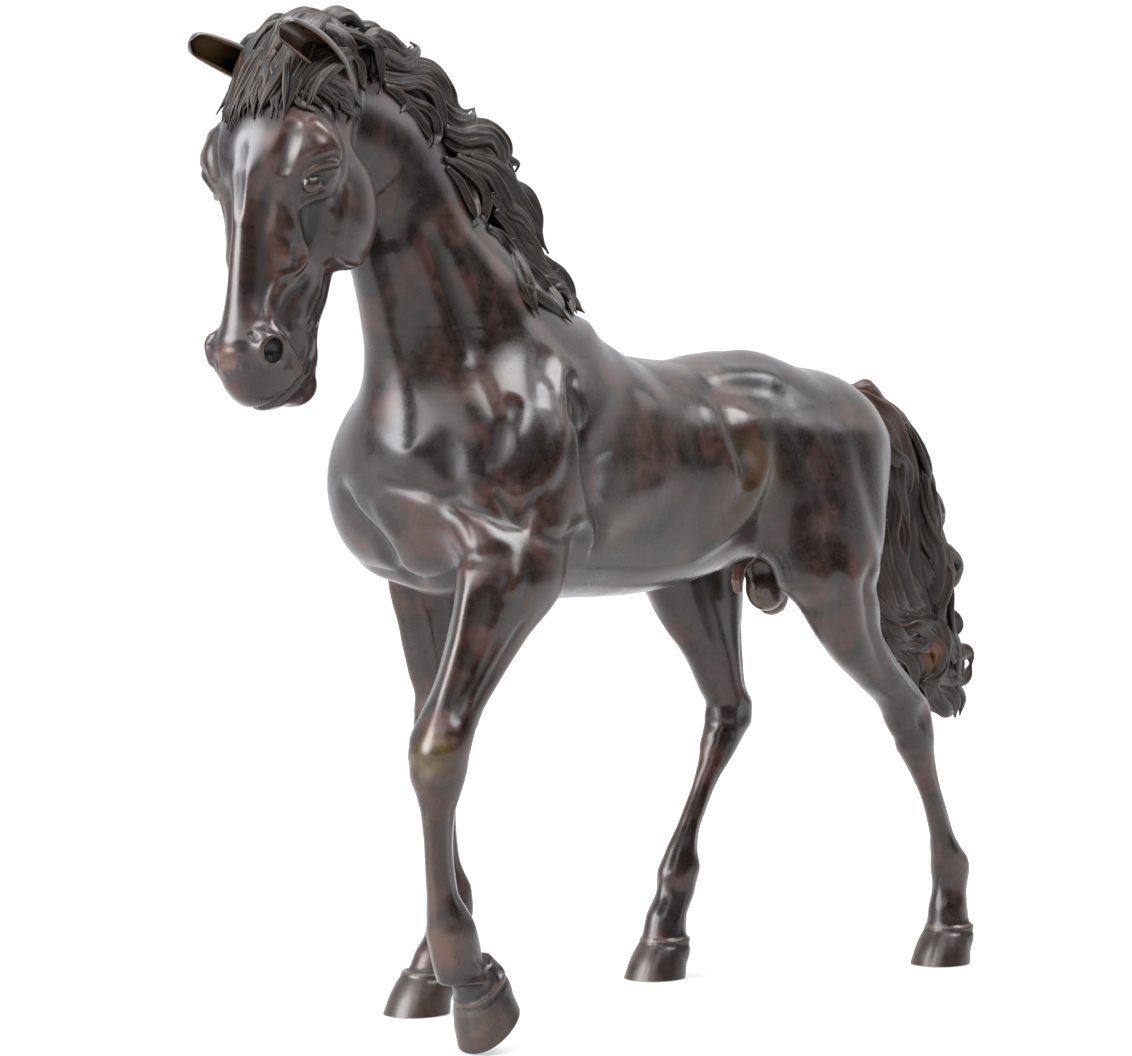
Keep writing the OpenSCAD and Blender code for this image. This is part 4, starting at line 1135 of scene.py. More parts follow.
EARM = patina("bronze_ear", DARK, (0.06, 0.028, 0.016), COOL, (0.14, 0.08, 0.05), wear_lo=0.6, wear_hi=0.95, wear_amt=0.4, seed=0.2, spots=[
    ((33, -252, 424), 26, (0.10, 0.045, 0.02), 0.6), ((-12, -262, 426), 13, (0.17, 0.10, 0.035), 0.8), ((-4, -250, 420), 12, (0.11, 0.04, 0.02), 0.6)])
HOOF = patina("hoof_bronze", (0.022, 0.014, 0.011), (0.050, 0.028, 0.018), (0.03, 0.025, 0.026), (0.12, 0.08, 0.05), rough=0.33, grain=1.4, wear_lo=0.66, wear_amt=0.4, seed=0.7)
RUBBED = patina("bronze_rubbed", (0.03, 0.017, 0.012), (0.06, 0.028, 0.018), (0.035, 0.026, 0.025), (0.14, 0.08, 0.05), wear_lo=0.66, wear_amt=0.4, seed=0.9, spots=[((0, 68, 200), 9, COPPER, 1.0), ((2, 88, 200), 7, (0.03, 0.012, 0.008), 1.0)])
BRASS = patina("dowel_brass", (0.30, 0.19, 0.07), (0.46, 0.31, 0.12), (0.36, 0.26, 0.13), (0.6, 0.42, 0.2), rough=0.35, metal=0.9, coat=0.0, crevice=0.6, seed=1.3)


# ------------------------------------------------------------------ chased hair
class Hair:
    """Locks collected into one mesh: flattened, tapered, with grooves running along them."""

    def __init__(self, seed):
        self.rng = np.random.default_rng(seed)
        self.v, self.q, self.t, self.w, self.n = [], [], [], [], 0

    def lock(self, path, w, t, out, strands=3, ring=24, gap=1.3, root=0.6, fine=0.30, tip_from=0.5, swell=0.0):
        rng = self.rng
        P = smooth_line(path, gap)
        n = len(P)
        if n < 4:
            return
        T = np.gradient(P, axis=0)
        T /= np.linalg.norm(T, axis=1, keepdims=True) + 1e-9
        out = np.asarray(out, float)
        out = np.broadcast_to(out, P.shape)
        N = out - (out * T).sum(1, keepdims=True) * T
        N /= np.linalg.norm(N, axis=1, keepdims=True) + 1e-9
        for _ in range(3):
            N[1:-1] = (N[:-2] + N[1:-1] + N[2:]) / 3
        N /= np.linalg.norm(N, axis=1, keepdims=True) + 1e-9
        B = np.cross(T, N)
        s = np.linspace(0, 1, n)[:, None]
        size = (root + (1 - root) * step(s, 0, 0.28)) * (1 - 0.9 * step(s, tip_from, 1.0)**1.3)
        a = np.linspace(0, 2 * math.pi, ring, endpoint=False)[None]
        ca, sa = np.cos(a), np.sin(a)
        ph, fr = rng.uniform(0, 6.28), rng.uniform(0.6, 1.6)
        q = ca + 0.10 * np.sin(2 * math.pi * fr * s + ph) * (1 - ca**2)
        g = np.abs(np.sin(math.pi * strands * 0.5 * (q + 1)))
        g2 = np.abs(np.sin(math.pi * strands * 1.5 * (q + 1) + ph))
        h = 1 - fine * (1 - g**0.7) - 0.10 * (1 - g2**0.8)
        X = w * ca * size * (0.92 + 0.08 * h)
        Y = t * np.sign(sa) * np.abs(sa)**0.85 * size**0.8 * h
        V = P[:, None, :] + X[..., None] * B[:, None, :] + Y[..., None] * N[:, None, :]
        # values for the material: low in the grooves between strands (painted groove shade), high on the strand ridges
        # (rubbed), a little higher on the outward face
        wear = np.clip(0.18 + 0.62 * g**1.2 * (0.75 + 0.25 * g2) + 0.14 * (sa > 0) + 0 * s, 0, 1)
        k = self.n
        self.v.append(V.reshape(-1, 3))
        self.w.append(wear.reshape(-1))
        i = np.arange(n - 1)[:, None] * ring
        j = np.arange(ring)[None]
        j2 = (j + 1) % ring
        self.q.append((np.stack([i + j, i + j2, i + ring + j2, i + ring + j], -1).reshape(-1, 4) + k))
        # ends
        self.v.append(np.stack([P[0] - T[0] * w * 0.25, P[-1] + T[-1] * 0.6]))
        self.w.append(np.array([0.3, 0.9]))
        c0, c1 = k + n * ring, k + n * ring + 1
        j, j2 = j[0], j2[0]
        self.t.append(np.stack([np.full(ring, c0), k + j2, k + j], -1))
        self.t.append(np.stack([np.full(ring, c1), k + (n - 1) * ring + j, k + (n - 1) * ring + j2], -1))
        self.n += n * ring + 2

    def field(self, F, wear=0.12):
        v, q = F.mesh()
        self.v.append(v)
        # the core under the locks keeps low values (0.12 plus its curvature, at most 0.5): largely painted shade, never
        # the rubbed colour
        self.w.append(np.clip(wear + 1.5 * F.curve(v), 0, 0.5))
        self.q.append(q + self.n)
        self.n += len(v)

    def piece(self, name, node, mat):
        v = np.concatenate(self.v)
        q = np.concatenate(self.q)
        t = np.concatenate(self.t) if self.t else np.zeros((0, 3), int)
        loops = np.r_[q.ravel(), t.ravel()]
        sizes = np.r_[np.full(len(q), 4), np.full(len(t), 3)]
        me = new_mesh(name, v, loops, sizes, np.concatenate(self.w))
        log(name, len(v), "verts")
        return as_piece(name, me, node, mat)


MANE_LOCKS = [
    (4.5, 2.6, [(9, -239, 436), (9, -229, 442), (10, -221, 442), (22, -224, 436), (27, -221, 429)]),
    (4.5, 2.6, [(12, -235, 438), (3, -220, 445), (4, -212, 443), (24, -223, 434), (6, -199, 432)]),
    (5, 3, [(-2, -212, 441), (0, -206, 447), (1, -198, 449), (2, -192, 445), (3, -188, 438), (4, -185, 432)]),
    (4.2, 2.5, [(20, -241, 430), (20, -231, 436), (24, -224, 434), (27, -219, 428), (26, -213, 423)]),
    (3.4, 2.2, [(4, -201, 438), (4, -194, 443), (5, -187, 444), (6, -182, 442), (6, -179, 439)]),
    (2.6, 2, [(28, -222, 428), (16, -206, 434), (16, -200, 436), (17, -195, 434), (16, -192, 428), (16, -191, 421), (16, -193, 414)]),
    (2.2, 1.6, [(27, -218, 427), (27, -214, 423), (26, -212, 418), (17, -202, 414)]),
    (2, 1.6, [(13, -194, 432), (13, -192, 428), (12, -192, 423), (14, -194, 419)]),
    (4.5, 2.6, [(9, -196, 436), (9, -187, 440), (8, -179, 438), (8, -172, 434), (7, -165, 434), (6, -160, 439), (5, -163, 441)]),
    (4, 2.3, [(12, -190, 433), (11, -181, 431), (10, -173, 430), (8, -165, 433), (6, -160, 438)]),
    (3.6, 2.2, [(4, -185, 440), (4, -176, 441), (3, -169, 438), (2, -162, 436), (2, -157, 440)]),
    (4.5, 2.6, [(10, -186, 429), (9, -176, 428), (9, -166, 428), (8, -154, 428), (8, -147, 422), (7, -143, 417), (6, -135, 413), (5, -127, 413)]),
    (4.5, 2.6, [(11, -188, 424), (10, -175, 424), (9, -164, 425), (8, -153, 421), (7, -147, 415), (6, -141, 410)]),
    (4.5, 2.6, [(4, -173, 433), (4, -161, 431), (3, -148, 430), (3, -140, 423), (3, -135, 416), (2, -127, 414), (2, -121, 416)]),
    (3.2, 2, [(13, -187, 420), (13, -177, 420), (12, -165, 422), (12, -156, 419), (11, -151, 413), (11, -148, 406), (10, -145, 398)]),
    (2.6, 1.8, [(14, -187, 418), (15, -180, 415), (16, -177, 411), (18, -181, 407)]),
    (2.5, 1.7, [(14, -179, 416), (13, -169, 413), (15, -161, 410), (15, -157, 406), (15, -156, 400), (20, -164, 393)]),
    (2.2, 1.5, [(16, -177, 411), (16, -170, 407), (18, -166, 401), (19, -164, 395)]),
    (4.5, 2.6, [(9, -149, 415), (9, -141, 409), (8, -132, 408), (6, -125, 411), (5, -123, 416)]),
    (4.5, 2.6, [(8, -145, 412), (7, -135, 409), (5, -126, 408), (4, -119, 411)]),
    (4.5, 2.8, [(12, -148, 403), (11, -137, 401), (11, -126, 403), (10, -117, 403), (9, -110, 398), (7, -105, 391), (6, -98, 389)]),
    (4.5, 2.6, [(6, -138, 409), (5, -126, 407), (5, -114, 407), (4, -104, 402), (3, -99, 395), (3, -92, 393), (2, -93, 390)]),
    (4, 2.4, [(10, -147, 399), (10, -138, 396), (9, -129, 397), (9, -120, 397), (8, -113, 393), (7, -108, 386)]),
    (2.5, 1.8, [(18, -154, 389), (15, -144, 388), (16, -136, 384), (16, -129, 379), (16, -126, 373), (14, -126, 367), (24, -141, 360)]),
    (2.2, 1.6, [(19, -154, 385), (19, -147, 380), (20, -142, 372), (22, -139, 364), (24, -140, 361)]),
    (2, 1.6, [(13, -139, 383), (14, -134, 377), (17, -134, 370), (23, -139, 363)]),
    (3.8, 2.4, [(13, -142, 391), (13, -131, 388), (12, -120, 385), (12, -113, 378), (12, -108, 371), (11, -99, 368), (10, -90, 362), (9, -84, 356)]),
    (4.2, 2.6, [(11, -132, 393), (10, -119, 391), (10, -109, 386), (9, -101, 379), (8, -92, 371), (7, -83, 363), (6, -77, 355)]),
    (4.5, 2.6, [(4, -113, 398), (4, -104, 392), (3, -97, 383), (3, -87, 379), (3, -82, 371), (2, -78, 362), (2, -71, 354)]),
    (4, 2.4, [(6, -107, 385), (5, -96, 381), (4, -87, 377), (4, -83, 369), (3, -86, 366)]),
    (4, 2.5, [(12, -120, 376), (11, -110, 370), (10, -100, 363), (10, -91, 356), (9, -81, 349), (8, -75, 347)]),
    (4, 2.5, [(12, -117, 369), (11, -106, 362), (10, -96, 353), (9, -86, 348), (8, -75, 344), (7, -68, 347)]),
    (3.4, 2.2, [(20, -129, 360), (17, -117, 356), (19, -113, 350), (24, -112, 342), (29, -111, 331), (34, -111, 322)]),
    (2.8, 1.9, [(15, -109, 357), (15, -105, 350), (24, -109, 340), (30, -111, 330), (34, -111, 322)]),
    (2.6, 1.8, [(14, -108, 353), (26, -119, 342), (30, -119, 334), (32, -115, 327), (34, -111, 322)]),
    (3.6, 2.3, [(10, -105, 357), (9, -93, 351), (8, -82, 343), (7, -71, 341), (6, -65, 338)]),
    (3.4, 2.2, [(11, -98, 348), (11, -89, 342), (11, -81, 336), (19, -82, 329), (26, -86, 324)]),
    (3.4, 2.2, [(6, -88, 354), (6, -76, 348), (5, -66, 344), (5, -59, 336), (4, -54, 327)]),
    (3, 2, [(8, -84, 344), (8, -75, 339), (8, -66, 333), (21, -74, 324)]),
    (2.8, 1.8, [(29, -120, 336), (29, -110, 332), (28, -99, 328), (27, -89, 324), (29, -84, 320)]),
]

TAIL_LOCKS = [
    (5, 3, [(2, 159, 298), (2, 173, 298), (2, 185, 293), (2, 199, 283), (2, 210, 272), (2, 216, 258), (2, 219, 246)]),
    (5, 3, [(6, 156, 295), (6, 171, 292), (7, 184, 283), (7, 194, 270), (7, 202, 257), (6, 204, 241), (6, 203, 225)]),
    (4.5, 3, [(8, 160, 291), (8, 173, 283), (9, 182, 271), (9, 187, 256), (9, 191, 239), (8, 193, 222), (8, 197, 209)]),
    (4, 2.6, [(9, 166, 286), (9, 175, 274), (10, 184, 264), (10, 194, 256), (9, 198, 247), (9, 195, 237)]),
    (4.5, 2.8, [(4, 174, 294), (4, 191, 283), (4, 204, 268), (4, 211, 253), (4, 211, 237), (4, 213, 223), (4, 222, 211)]),
    (3.6, 2.4, [(10, 178, 256), (10, 183, 240), (11, 183, 225), (11, 186, 209), (11, 195, 196), (10, 209, 185), (10, 221, 181)]),
    (3.6, 2.4, [(9, 186, 248), (9, 190, 232), (10, 192, 216), (10, 195, 201), (9, 205, 190), (9, 220, 183)]),
    (3.4, 2.2, [(11, 175, 230), (11, 177, 214), (11, 179, 201), (11, 188, 189), (10, 204, 181), (10, 221, 178)]),
    (3.2, 2.2, [(11, 172, 217), (11, 171, 203), (11, 177, 190), (10, 192, 182), (9, 209, 178)]),
    (3.2, 2.2, [(10, 170, 204), (10, 171, 192), (11, 180, 183), (10, 197, 177), (9, 215, 176)]),
    (5, 3, [(3, 212, 257), (3, 223, 248), (3, 231, 240), (2, 235, 231), (2, 226, 225)]),
    (4.5, 2.8, [(6, 205, 247), (6, 213, 239), (6, 221, 230), (6, 225, 222), (5, 239, 213), (4, 247, 207)]),
    (4.5, 2.8, [(4, 214, 230), (4, 227, 220), (4, 240, 213), (4, 250, 204), (3, 245, 195), (2, 233, 190)]),
    (4, 2.6, [(8, 198, 225), (8, 204, 213), (8, 213, 202), (7, 225, 195), (5, 237, 192)]),
    (4, 2.6, [(7, 207, 221), (7, 218, 211), (7, 230, 204), (6, 243, 202), (5, 248, 207)]),
    (4, 2.6, [(5, 206, 211), (5, 213, 198), (5, 224, 188), (4, 234, 184), (3, 241, 180)]),
    (4, 2.6, [(8, 213, 187), (8, 226, 181), (7, 237, 177), (6, 247, 170), (4, 245, 165)]),
    (3.6, 2.4, [(10, 190, 193), (9, 206, 184), (8, 222, 180), (7, 234, 172), (6, 241, 165)]),
    (3.6, 2.4, [(11, 166, 190), (11, 175, 181), (11, 189, 173), (10, 206, 171), (9, 222, 172)]),
    (3.4, 2.3, [(11, 168, 183), (12, 178, 173), (12, 191, 167), (11, 208, 165), (10, 222, 168)]),
    (3.2, 2.2, [(12, 170, 176), (12, 182, 167), (12, 195, 164), (11, 210, 162), (10, 222, 164)]),
    (4, 2.6, [(11, 194, 179), (11, 209, 177), (10, 222, 172), (10, 230, 164), (9, 229, 154), (9, 219, 147), (8, 209, 143)]),
    (3.6, 2.4, [(12, 191, 173), (12, 206, 172), (11, 217, 167), (11, 223, 159), (10, 221, 151), (9, 211, 145)]),
    (4, 2.6, [(6, 224, 182), (6, 236, 173), (5, 242, 164), (5, 245, 156), (4, 238, 149)]),
    (3.6, 2.4, [(8, 227, 166), (8, 239, 159), (7, 250, 158), (6, 259, 155), (5, 260, 149)]),
    (3.6, 2.4, [(6, 222, 149), (6, 236, 148), (5, 249, 145), (4, 260, 148), (3, 264, 154)]),
    (3.4, 2.3, [(9, 211, 143), (8, 227, 144), (7, 239, 145), (6, 252, 145)]),
    (4.5, 2.8, [(7, 221, 147), (6, 231, 139), (5, 242, 131), (4, 250, 124)]),
    (4, 2.5, [(10, 210, 143), (9, 222, 137), (7, 234, 130), (5, 246, 124)]),
    (4, 2.5, [(3, 239, 150), (3, 249, 141), (3, 255, 133), (2, 254, 124)]),
    (2.4, 1.8, [(13, 174, 167), (13, 185, 160), (13, 195, 153), (12, 203, 145), (12, 207, 140)]),
    (3, 2, [(10, 189, 163), (10, 197, 158), (10, 203, 152), (10, 206, 144)]),
    (3, 2, [(7, 200, 162), (7, 210, 159), (7, 216, 151), (7, 214, 143)]),
    (4, 2.6, [(-2, 206, 273), (-2, 219, 251), (-2, 228, 225), (-2, 233, 198), (-2, 237, 176), (-2, 241, 154), (-2, 248, 132)]),
    (4, 2.6, [(0, 186, 272), (0, 195, 241), (0, 200, 209), (0, 211, 182), (0, 222, 160), (0, 231, 144)]),
]

TEMPLE_LOCKS = [
    (2.6, 1.6, [(26, -252, 414), (30, -247, 412), (33, -242, 409), (34, -236, 405), (34, -233, 397)]),
    (2.4, 1.5, [(27, -254, 410), (31, -250, 407), (34, -245, 404), (35, -242, 399)]),
    (2.4, 1.5, [(28, -255, 407), (31, -253, 403), (34, -250, 399), (35, -248, 396)]),
    (2.6, 1.6, [(27, -248, 416), (32, -242, 414), (33, -235, 412), (32, -227, 409), (31, -222, 405), (32, -224, 398)]),
    (2.4, 1.5, [(33, -233, 413), (32, -225, 411), (28, -216, 408), (20, -206, 405)]),
    (2.2, 1.4, [(34, -233, 407), (33, -227, 405), (31, -222, 401), (32, -226, 396)]),
    (2.2, 1.4, [(34, -231, 403), (32, -224, 402), (21, -210, 401), (23, -212, 398)]),
    (2.4, 1.5, [(31, -245, 412), (33, -239, 409), (33, -232, 406), (33, -228, 401)]),
]

CREST = [(-196, 431), (-186, 427), (-164, 420), (-146, 402), (-127, 379), (-108, 362), (-88, 341), (-71, 330), (-56, 326)]


def jitter(rng, pts, a):
    p = np.array(pts, float)
    p[1:] += rng.normal(0, a, (len(p) - 1, 3))
    return p


def wave(rng, pts):
    """Ripples along a lock, in the plane of the statue's side."""
    P = smooth_line(pts, 4.0)
    d = np.gradient(P, axis=0)
    d /= np.linalg.norm(d, axis=1, keepdims=True) + 1e-9
    side = np.stack([0 * d[:, 0], -d[:, 2], d[:, 1]], -1)
    u = np.arange(len(P)) * 4.0
    ph = rng.uniform(0, 6.28)
    a = 1.5 * np.sin(u * 2 * math.pi / 36 + ph) * np.minimum(1, u / 12)
    b = 0.7 * np.sin(u * 2 * math.pi / 29 + 2 * ph) * np.minimum(1, u / 12)
    P = P + side * a[:, None]
    P[:, 0] += b
    return P


def build_mane():
    F = Field([-20, -236, 320], [20, -44, 450], 1.3)
    chain = [(0, -214, 430, 8), (0, -196, 432, 10), (0, -172, 430, 9.5), (0, -152, 417, 10), (0, -135, 399, 10.5), (0, -116, 384, 10.5), (0, -100, 366, 9.5), (0, -84, 349, 7.5), (0, -69, 335, 5), (0, -58, 327, 3)]
    F.rope(chain, 3)
    for i in range(26):
        a = i * 0.9
        F.bump((9 * math.sin(a * 2.3), -205 + i * 5.5, 436 - i * 3.6), (3, 6, 5), 1.2 * math.cos(a * 1.7))
    hair = Hair(11)
    hair.field(F)
    side = Hair(12)
    crest = np.array(CREST, float)
    seg = np.r_[0, np.cumsum(np.hypot(*np.diff(crest, axis=0).T))]
    rng = hair.rng
    for i in range(64):
        u = (i + rng.uniform(0, 0.6)) / 64 * 0.93
        c = pchip(seg, crest, [u * seg[-1]])[0]
        c2 = pchip(seg, crest, [min(1, u + 0.03) * seg[-1]])[0]
        t = (c2 - c) / (np.linalg.norm(c2 - c) + 1e-9)
        n = np.array([-t[1], t[0]])
        if n[1] < 0:
            n = -n
        H = float(np.interp(u, [0, 0.2, 0.5, 0.8, 1], [15, 16, 18.5, 14, 5]))
        m = (-1, 0, 1)[i % 3]
        x0 = m * rng.uniform(5, 9.5) + rng.uniform(-2, 2)
        ph, L = rng.uniform(0, 6.28), rng.uniform(22, 30) * (0.6 + 0.4 * (1 - u))
        pts = []
        for k in range(8):
            w = k / 7
            up = H * (0.25 + 0.62 * (1 - (1 - w)**2)) + 2.0 * math.sin(ph + 5.2 * w) * w - (3.5 if m else 0) * w
            al = L * w**1.15
            p = c + n * up + t * al
            pts.append((x0 * (1 + 0.15 * w) + 1.2 * math.sin(ph * 1.7 + 4 * w), p[0], p[1]))
        hair.lock(pts, rng.uniform(3.0, 4.4), rng.uniform(1.9, 2.6), (m * 0.9 + 0.15, n[0] * 0.6, n[1] * 0.6), strands=3 + i % 2)
    for k, (w, t, pts) in enumerate(MANE_LOCKS):
        h = side if pts[0][0] > 9.5 else hair
        h.lock(pts, w * 1.15, t * 1.15, (0.75, -0.35, 0.25) if pts[0][0] > 3 else (0.4, 0.3, 0.6), strands=3 + k % 2, tip_from=0.62, fine=0.42)
        if k == 6 or pts[0][0] < 3:
            continue
        far = [(-x - 0.5, y, z) for x, y, z in jitter(side.rng, pts, 0.9)]
        h.lock(far, w * 1.15, t * 1.15, (-0.75, -0.3, 0.25), strands=3 + (k + 1) % 2, tip_from=0.62)
    hair.piece("mane_crest", "mane_crest", HAIR)
    side.piece("mane_side_locks", "mane_side_locks", HAIR)


def build_forelock(G):
    hair = Hair(21)
    rng = hair.rng
    o, R = HEAD_FRAME
    F = Field([-36, -274, 400], [44, -196, 452], 1.2)
    F.rope([(0, -30, 432, 10), (0, -44, 430, 10), (1, -58, 421, 8), (1, -68, 409, 6)], 3, frame=HEAD_FRAME)
    F.ball((0, -36, 428), (17, 14, 9), (-20, 0, 0), 4, frame=HEAD_FRAME)
    F.ball((2, -58, 414), (16, 12, 10), (-40, 0, 0), 4, frame=HEAD_FRAME)
    hair.field(F)

    def lay(lat0, lat1, y0, zend, lift, bend):
        pts = []
        ph, wav = rng.uniform(0, 6.28), rng.uniform(0.7, 2.0)
        for w in np.linspace(0, 1, 7):
            lat = lat0 + (lat1 - lat0) * w + bend * math.sin(3.3 * w)
            y = y0 + (-82 - y0) * w**0.8
            z = 441 + (zend - 441) * w**1.25
            pts.append((lat + wav * math.sin(7 * w + ph), y, z))
        P = o + np.array(pts) @ R.T
        Q = G.snap(P, 6)
        Nn = G.normals(Q)
        d = lift * np.sin(np.linspace(0.9, 3.0, 7))[:, None] + 0.6
        return Q + Nn * d, Nn
    for layer in range(3):
        n = (15, 13, 10)[layer]
        for i in range(n):
            lat = -20 + 42 * (i + rng.uniform(-0.3, 0.3) + 0.5) / n
            zend = (399, 404, 412)[layer] + rng.uniform(-3, 6) + (2 if lat > 8 else 0) - (5 if -12 < lat < -3 else 0)
            P, Nn = lay(lat * 0.5 + rng.uniform(-3, 3), lat, -34 - rng.uniform(0, 8), zend, (1.5, 3.0, 4.5)[layer] + rng.uniform(-1, 1), rng.uniform(-5.5, 5.5))
            hair.lock(P, rng.uniform(2.6, 3.8), rng.uniform(1.8, 2.4), Nn.mean(0), strands=3, ring=20, gap=1.6, root=0.7, fine=0.42, tip_from=0.62)
    # short choppy ends
    for i in range(60):
        lat = rng.uniform(-20, 18)
        z1 = 401 + rng.uniform(-4, 12) - (5 if -12 < lat < -3 else 0)
        P, Nn = lay(lat * 0.7 + rng.uniform(-4, 7), lat + rng.uniform(-4, 3), -58, z1, rng.uniform(2.5, 5.0), rng.uniform(-4, 4))
        hair.lock(P[2:], rng.uniform(1.5, 2.6), rng.uniform(1.3, 1.9), Nn.mean(0), strands=2 + i % 2, ring=14, gap=1.4, root=0.45, fine=0.42, tip_from=0.5)
    for m in (1, -1):
        for k, (w, t, pts) in enumerate(TEMPLE_LOCKS):
            p = (np.array(pts, float) - o) @ R
            p[:, 0] *= m
            P = G.snap(o + p @ R.T, 4)
            Nn = G.normals(P)
            hair.lock(P + Nn * 0.7, w, t, Nn.mean(0), strands=3, ring=20, gap=1.2, root=0.4)
    # crown between the ears, running back under the mane
    for i in range(22):
        x = -15 + 30 * i / 21 + rng.uniform(-1, 1)
        pts = [(x * 0.8, -50, 431 - abs(x) * 0.25), (x * 0.9, -38, 440 - abs(x) * 0.3), (x, -24, 443 - abs(x) * 0.4), (x * 1.05, -8, 441 - abs(x) * 0.5), (x * 0.9, 6, 438 - abs(x) * 0.6)]
        P = o + np.array(pts) @ R.T
        hair.lock(P, rng.uniform(2.6, 3.4), rng.uniform(1.8, 2.4), (0.05 * x, 0, 1), strands=3, ring=20)
    # tufts under the roots of the ears
    for m in (1, -1):
        for i in range(11):
            x = 11 + 14 * i / 10 + rng.uniform(-1, 1)
            pts = [(m * x * 0.85, -38, 424), (m * x, -50, 420), (m * (x + 1), -61, 413), (m * (x + 1.5) + rng.uniform(-2, 2), -69, 405 + rng.uniform(-4, 3))]
            P = G.snap(o + np.array(pts) @ R.T, 8)
            Nn = G.normals(P)
            hair.lock(P + Nn * rng.uniform(1.6, 3.6), rng.uniform(2.2, 3.0), rng.uniform(1.6, 2.2), Nn.mean(0), strands=3, ring=18, gap=1.5, root=0.4, fine=0.4)
    hair.piece("forelock", "forelock", HAIR)


def build_tail():
    F = Field([-26, 140, 112], [26, 262, 306], 1.3)
    F.rope([(0, 148, 292, 7), (0, 172, 290, 8), (0, 193, 277, 9), (0, 205, 258, 10), (0, 212, 235, 11), (0, 220, 214, 12), (0, 227, 196, 12.5), (0, 226, 182, 10.5), (0, 236, 162, 9.5), (0, 244, 146, 8), (0, 250, 130, 3.5)], 3)
    F.rope([(1, 178, 262, 8), (2, 182, 240, 9.5), (3, 184, 218, 9.5), (4, 185, 200, 9), (4, 192, 182, 8), (5, 204, 168, 7)], 4)
    F.rope([(2, 196, 250, 7), (3, 200, 230, 9), (3, 204, 208, 9), (3, 209, 192, 9), (3, 217, 176, 9), (3, 225, 160, 8), (3, 232, 145, 5)], 3)
    hair = Hair(31)
    rng = hair.rng
    hair.field(F)
    spine = np.array([(158, 296), (180, 293), (200, 276), (211, 255), (216, 235), (222, 214), (228, 194), (228, 178), (238, 160), (246, 144), (253, 128)], float)
    seg = np.r_[0, np.cumsum(np.hypot(*np.diff(spine, axis=0).T))]
    wid = np.interp(np.linspace(0, 1, 60), [0, 0.15, 0.4, 0.65, 0.85, 1], [6, 8.5, 11.5, 14, 10, 4])
    for i in range(42):
        u0 = rng.uniform(0.0, 0.72)
        u1 = min(1.0, u0 + rng.uniform(0.2, 0.34))
        a = 2 * math.pi * (i + rng.uniform(-0.3, 0.3)) / 19.0
        ph = rng.uniform(0, 6.28)
        pts = []
        for w in np.linspace(0, 1, 9):
            u = u0 + (u1 - u0) * w
            c = pchip(seg, spine, [u * seg[-1]])[0]
            rr = float(np.interp(u, np.linspace(0, 1, 60), wid)) * (0.84 + 0.14 * w) * (1 + 0.07 * math.sin(1.7 * ph + 7 * w))
            aa = a + 0.40 * math.sin(ph + 4.6 * w)
            pts.append((rr * math.cos(aa), c[0] + rr * 0.95 * math.sin(aa), c[1] + 0.25 * rr * math.sin(aa)))
        P = np.array(pts)
        out = (math.cos(a), math.sin(a), 0.2)
        hair.lock(P, rng.uniform(4.4, 6.0), rng.uniform(2.4, 3.2), out, strands=3, ring=20, gap=1.9, root=0.35, fine=0.42, tip_from=0.62)
    for k, (w, t, pts) in enumerate(TAIL_LOCKS):
        hair.lock(wave(rng, pts), w * 1.35, t * 1.3, (0.75, -0.5, 0.1) if pts[0][0] > 4 else (0.5, 0.5, 0.3), strands=3, ring=20, gap=1.9, root=0.45, fine=0.42, tip_from=0.66)
        if pts[0][0] >= 4:
            hair.lock([(-x, y, z) for x, y, z in jitter(rng, wave(rng, pts), 0.8)], w * 1.35, t * 1.3, (-0.75, -0.4, 0.1), strands=3, ring=20, gap=1.9, root=0.45, fine=0.42, tip_from=0.66)
    hair.piece("tail", "tail", TAILM)


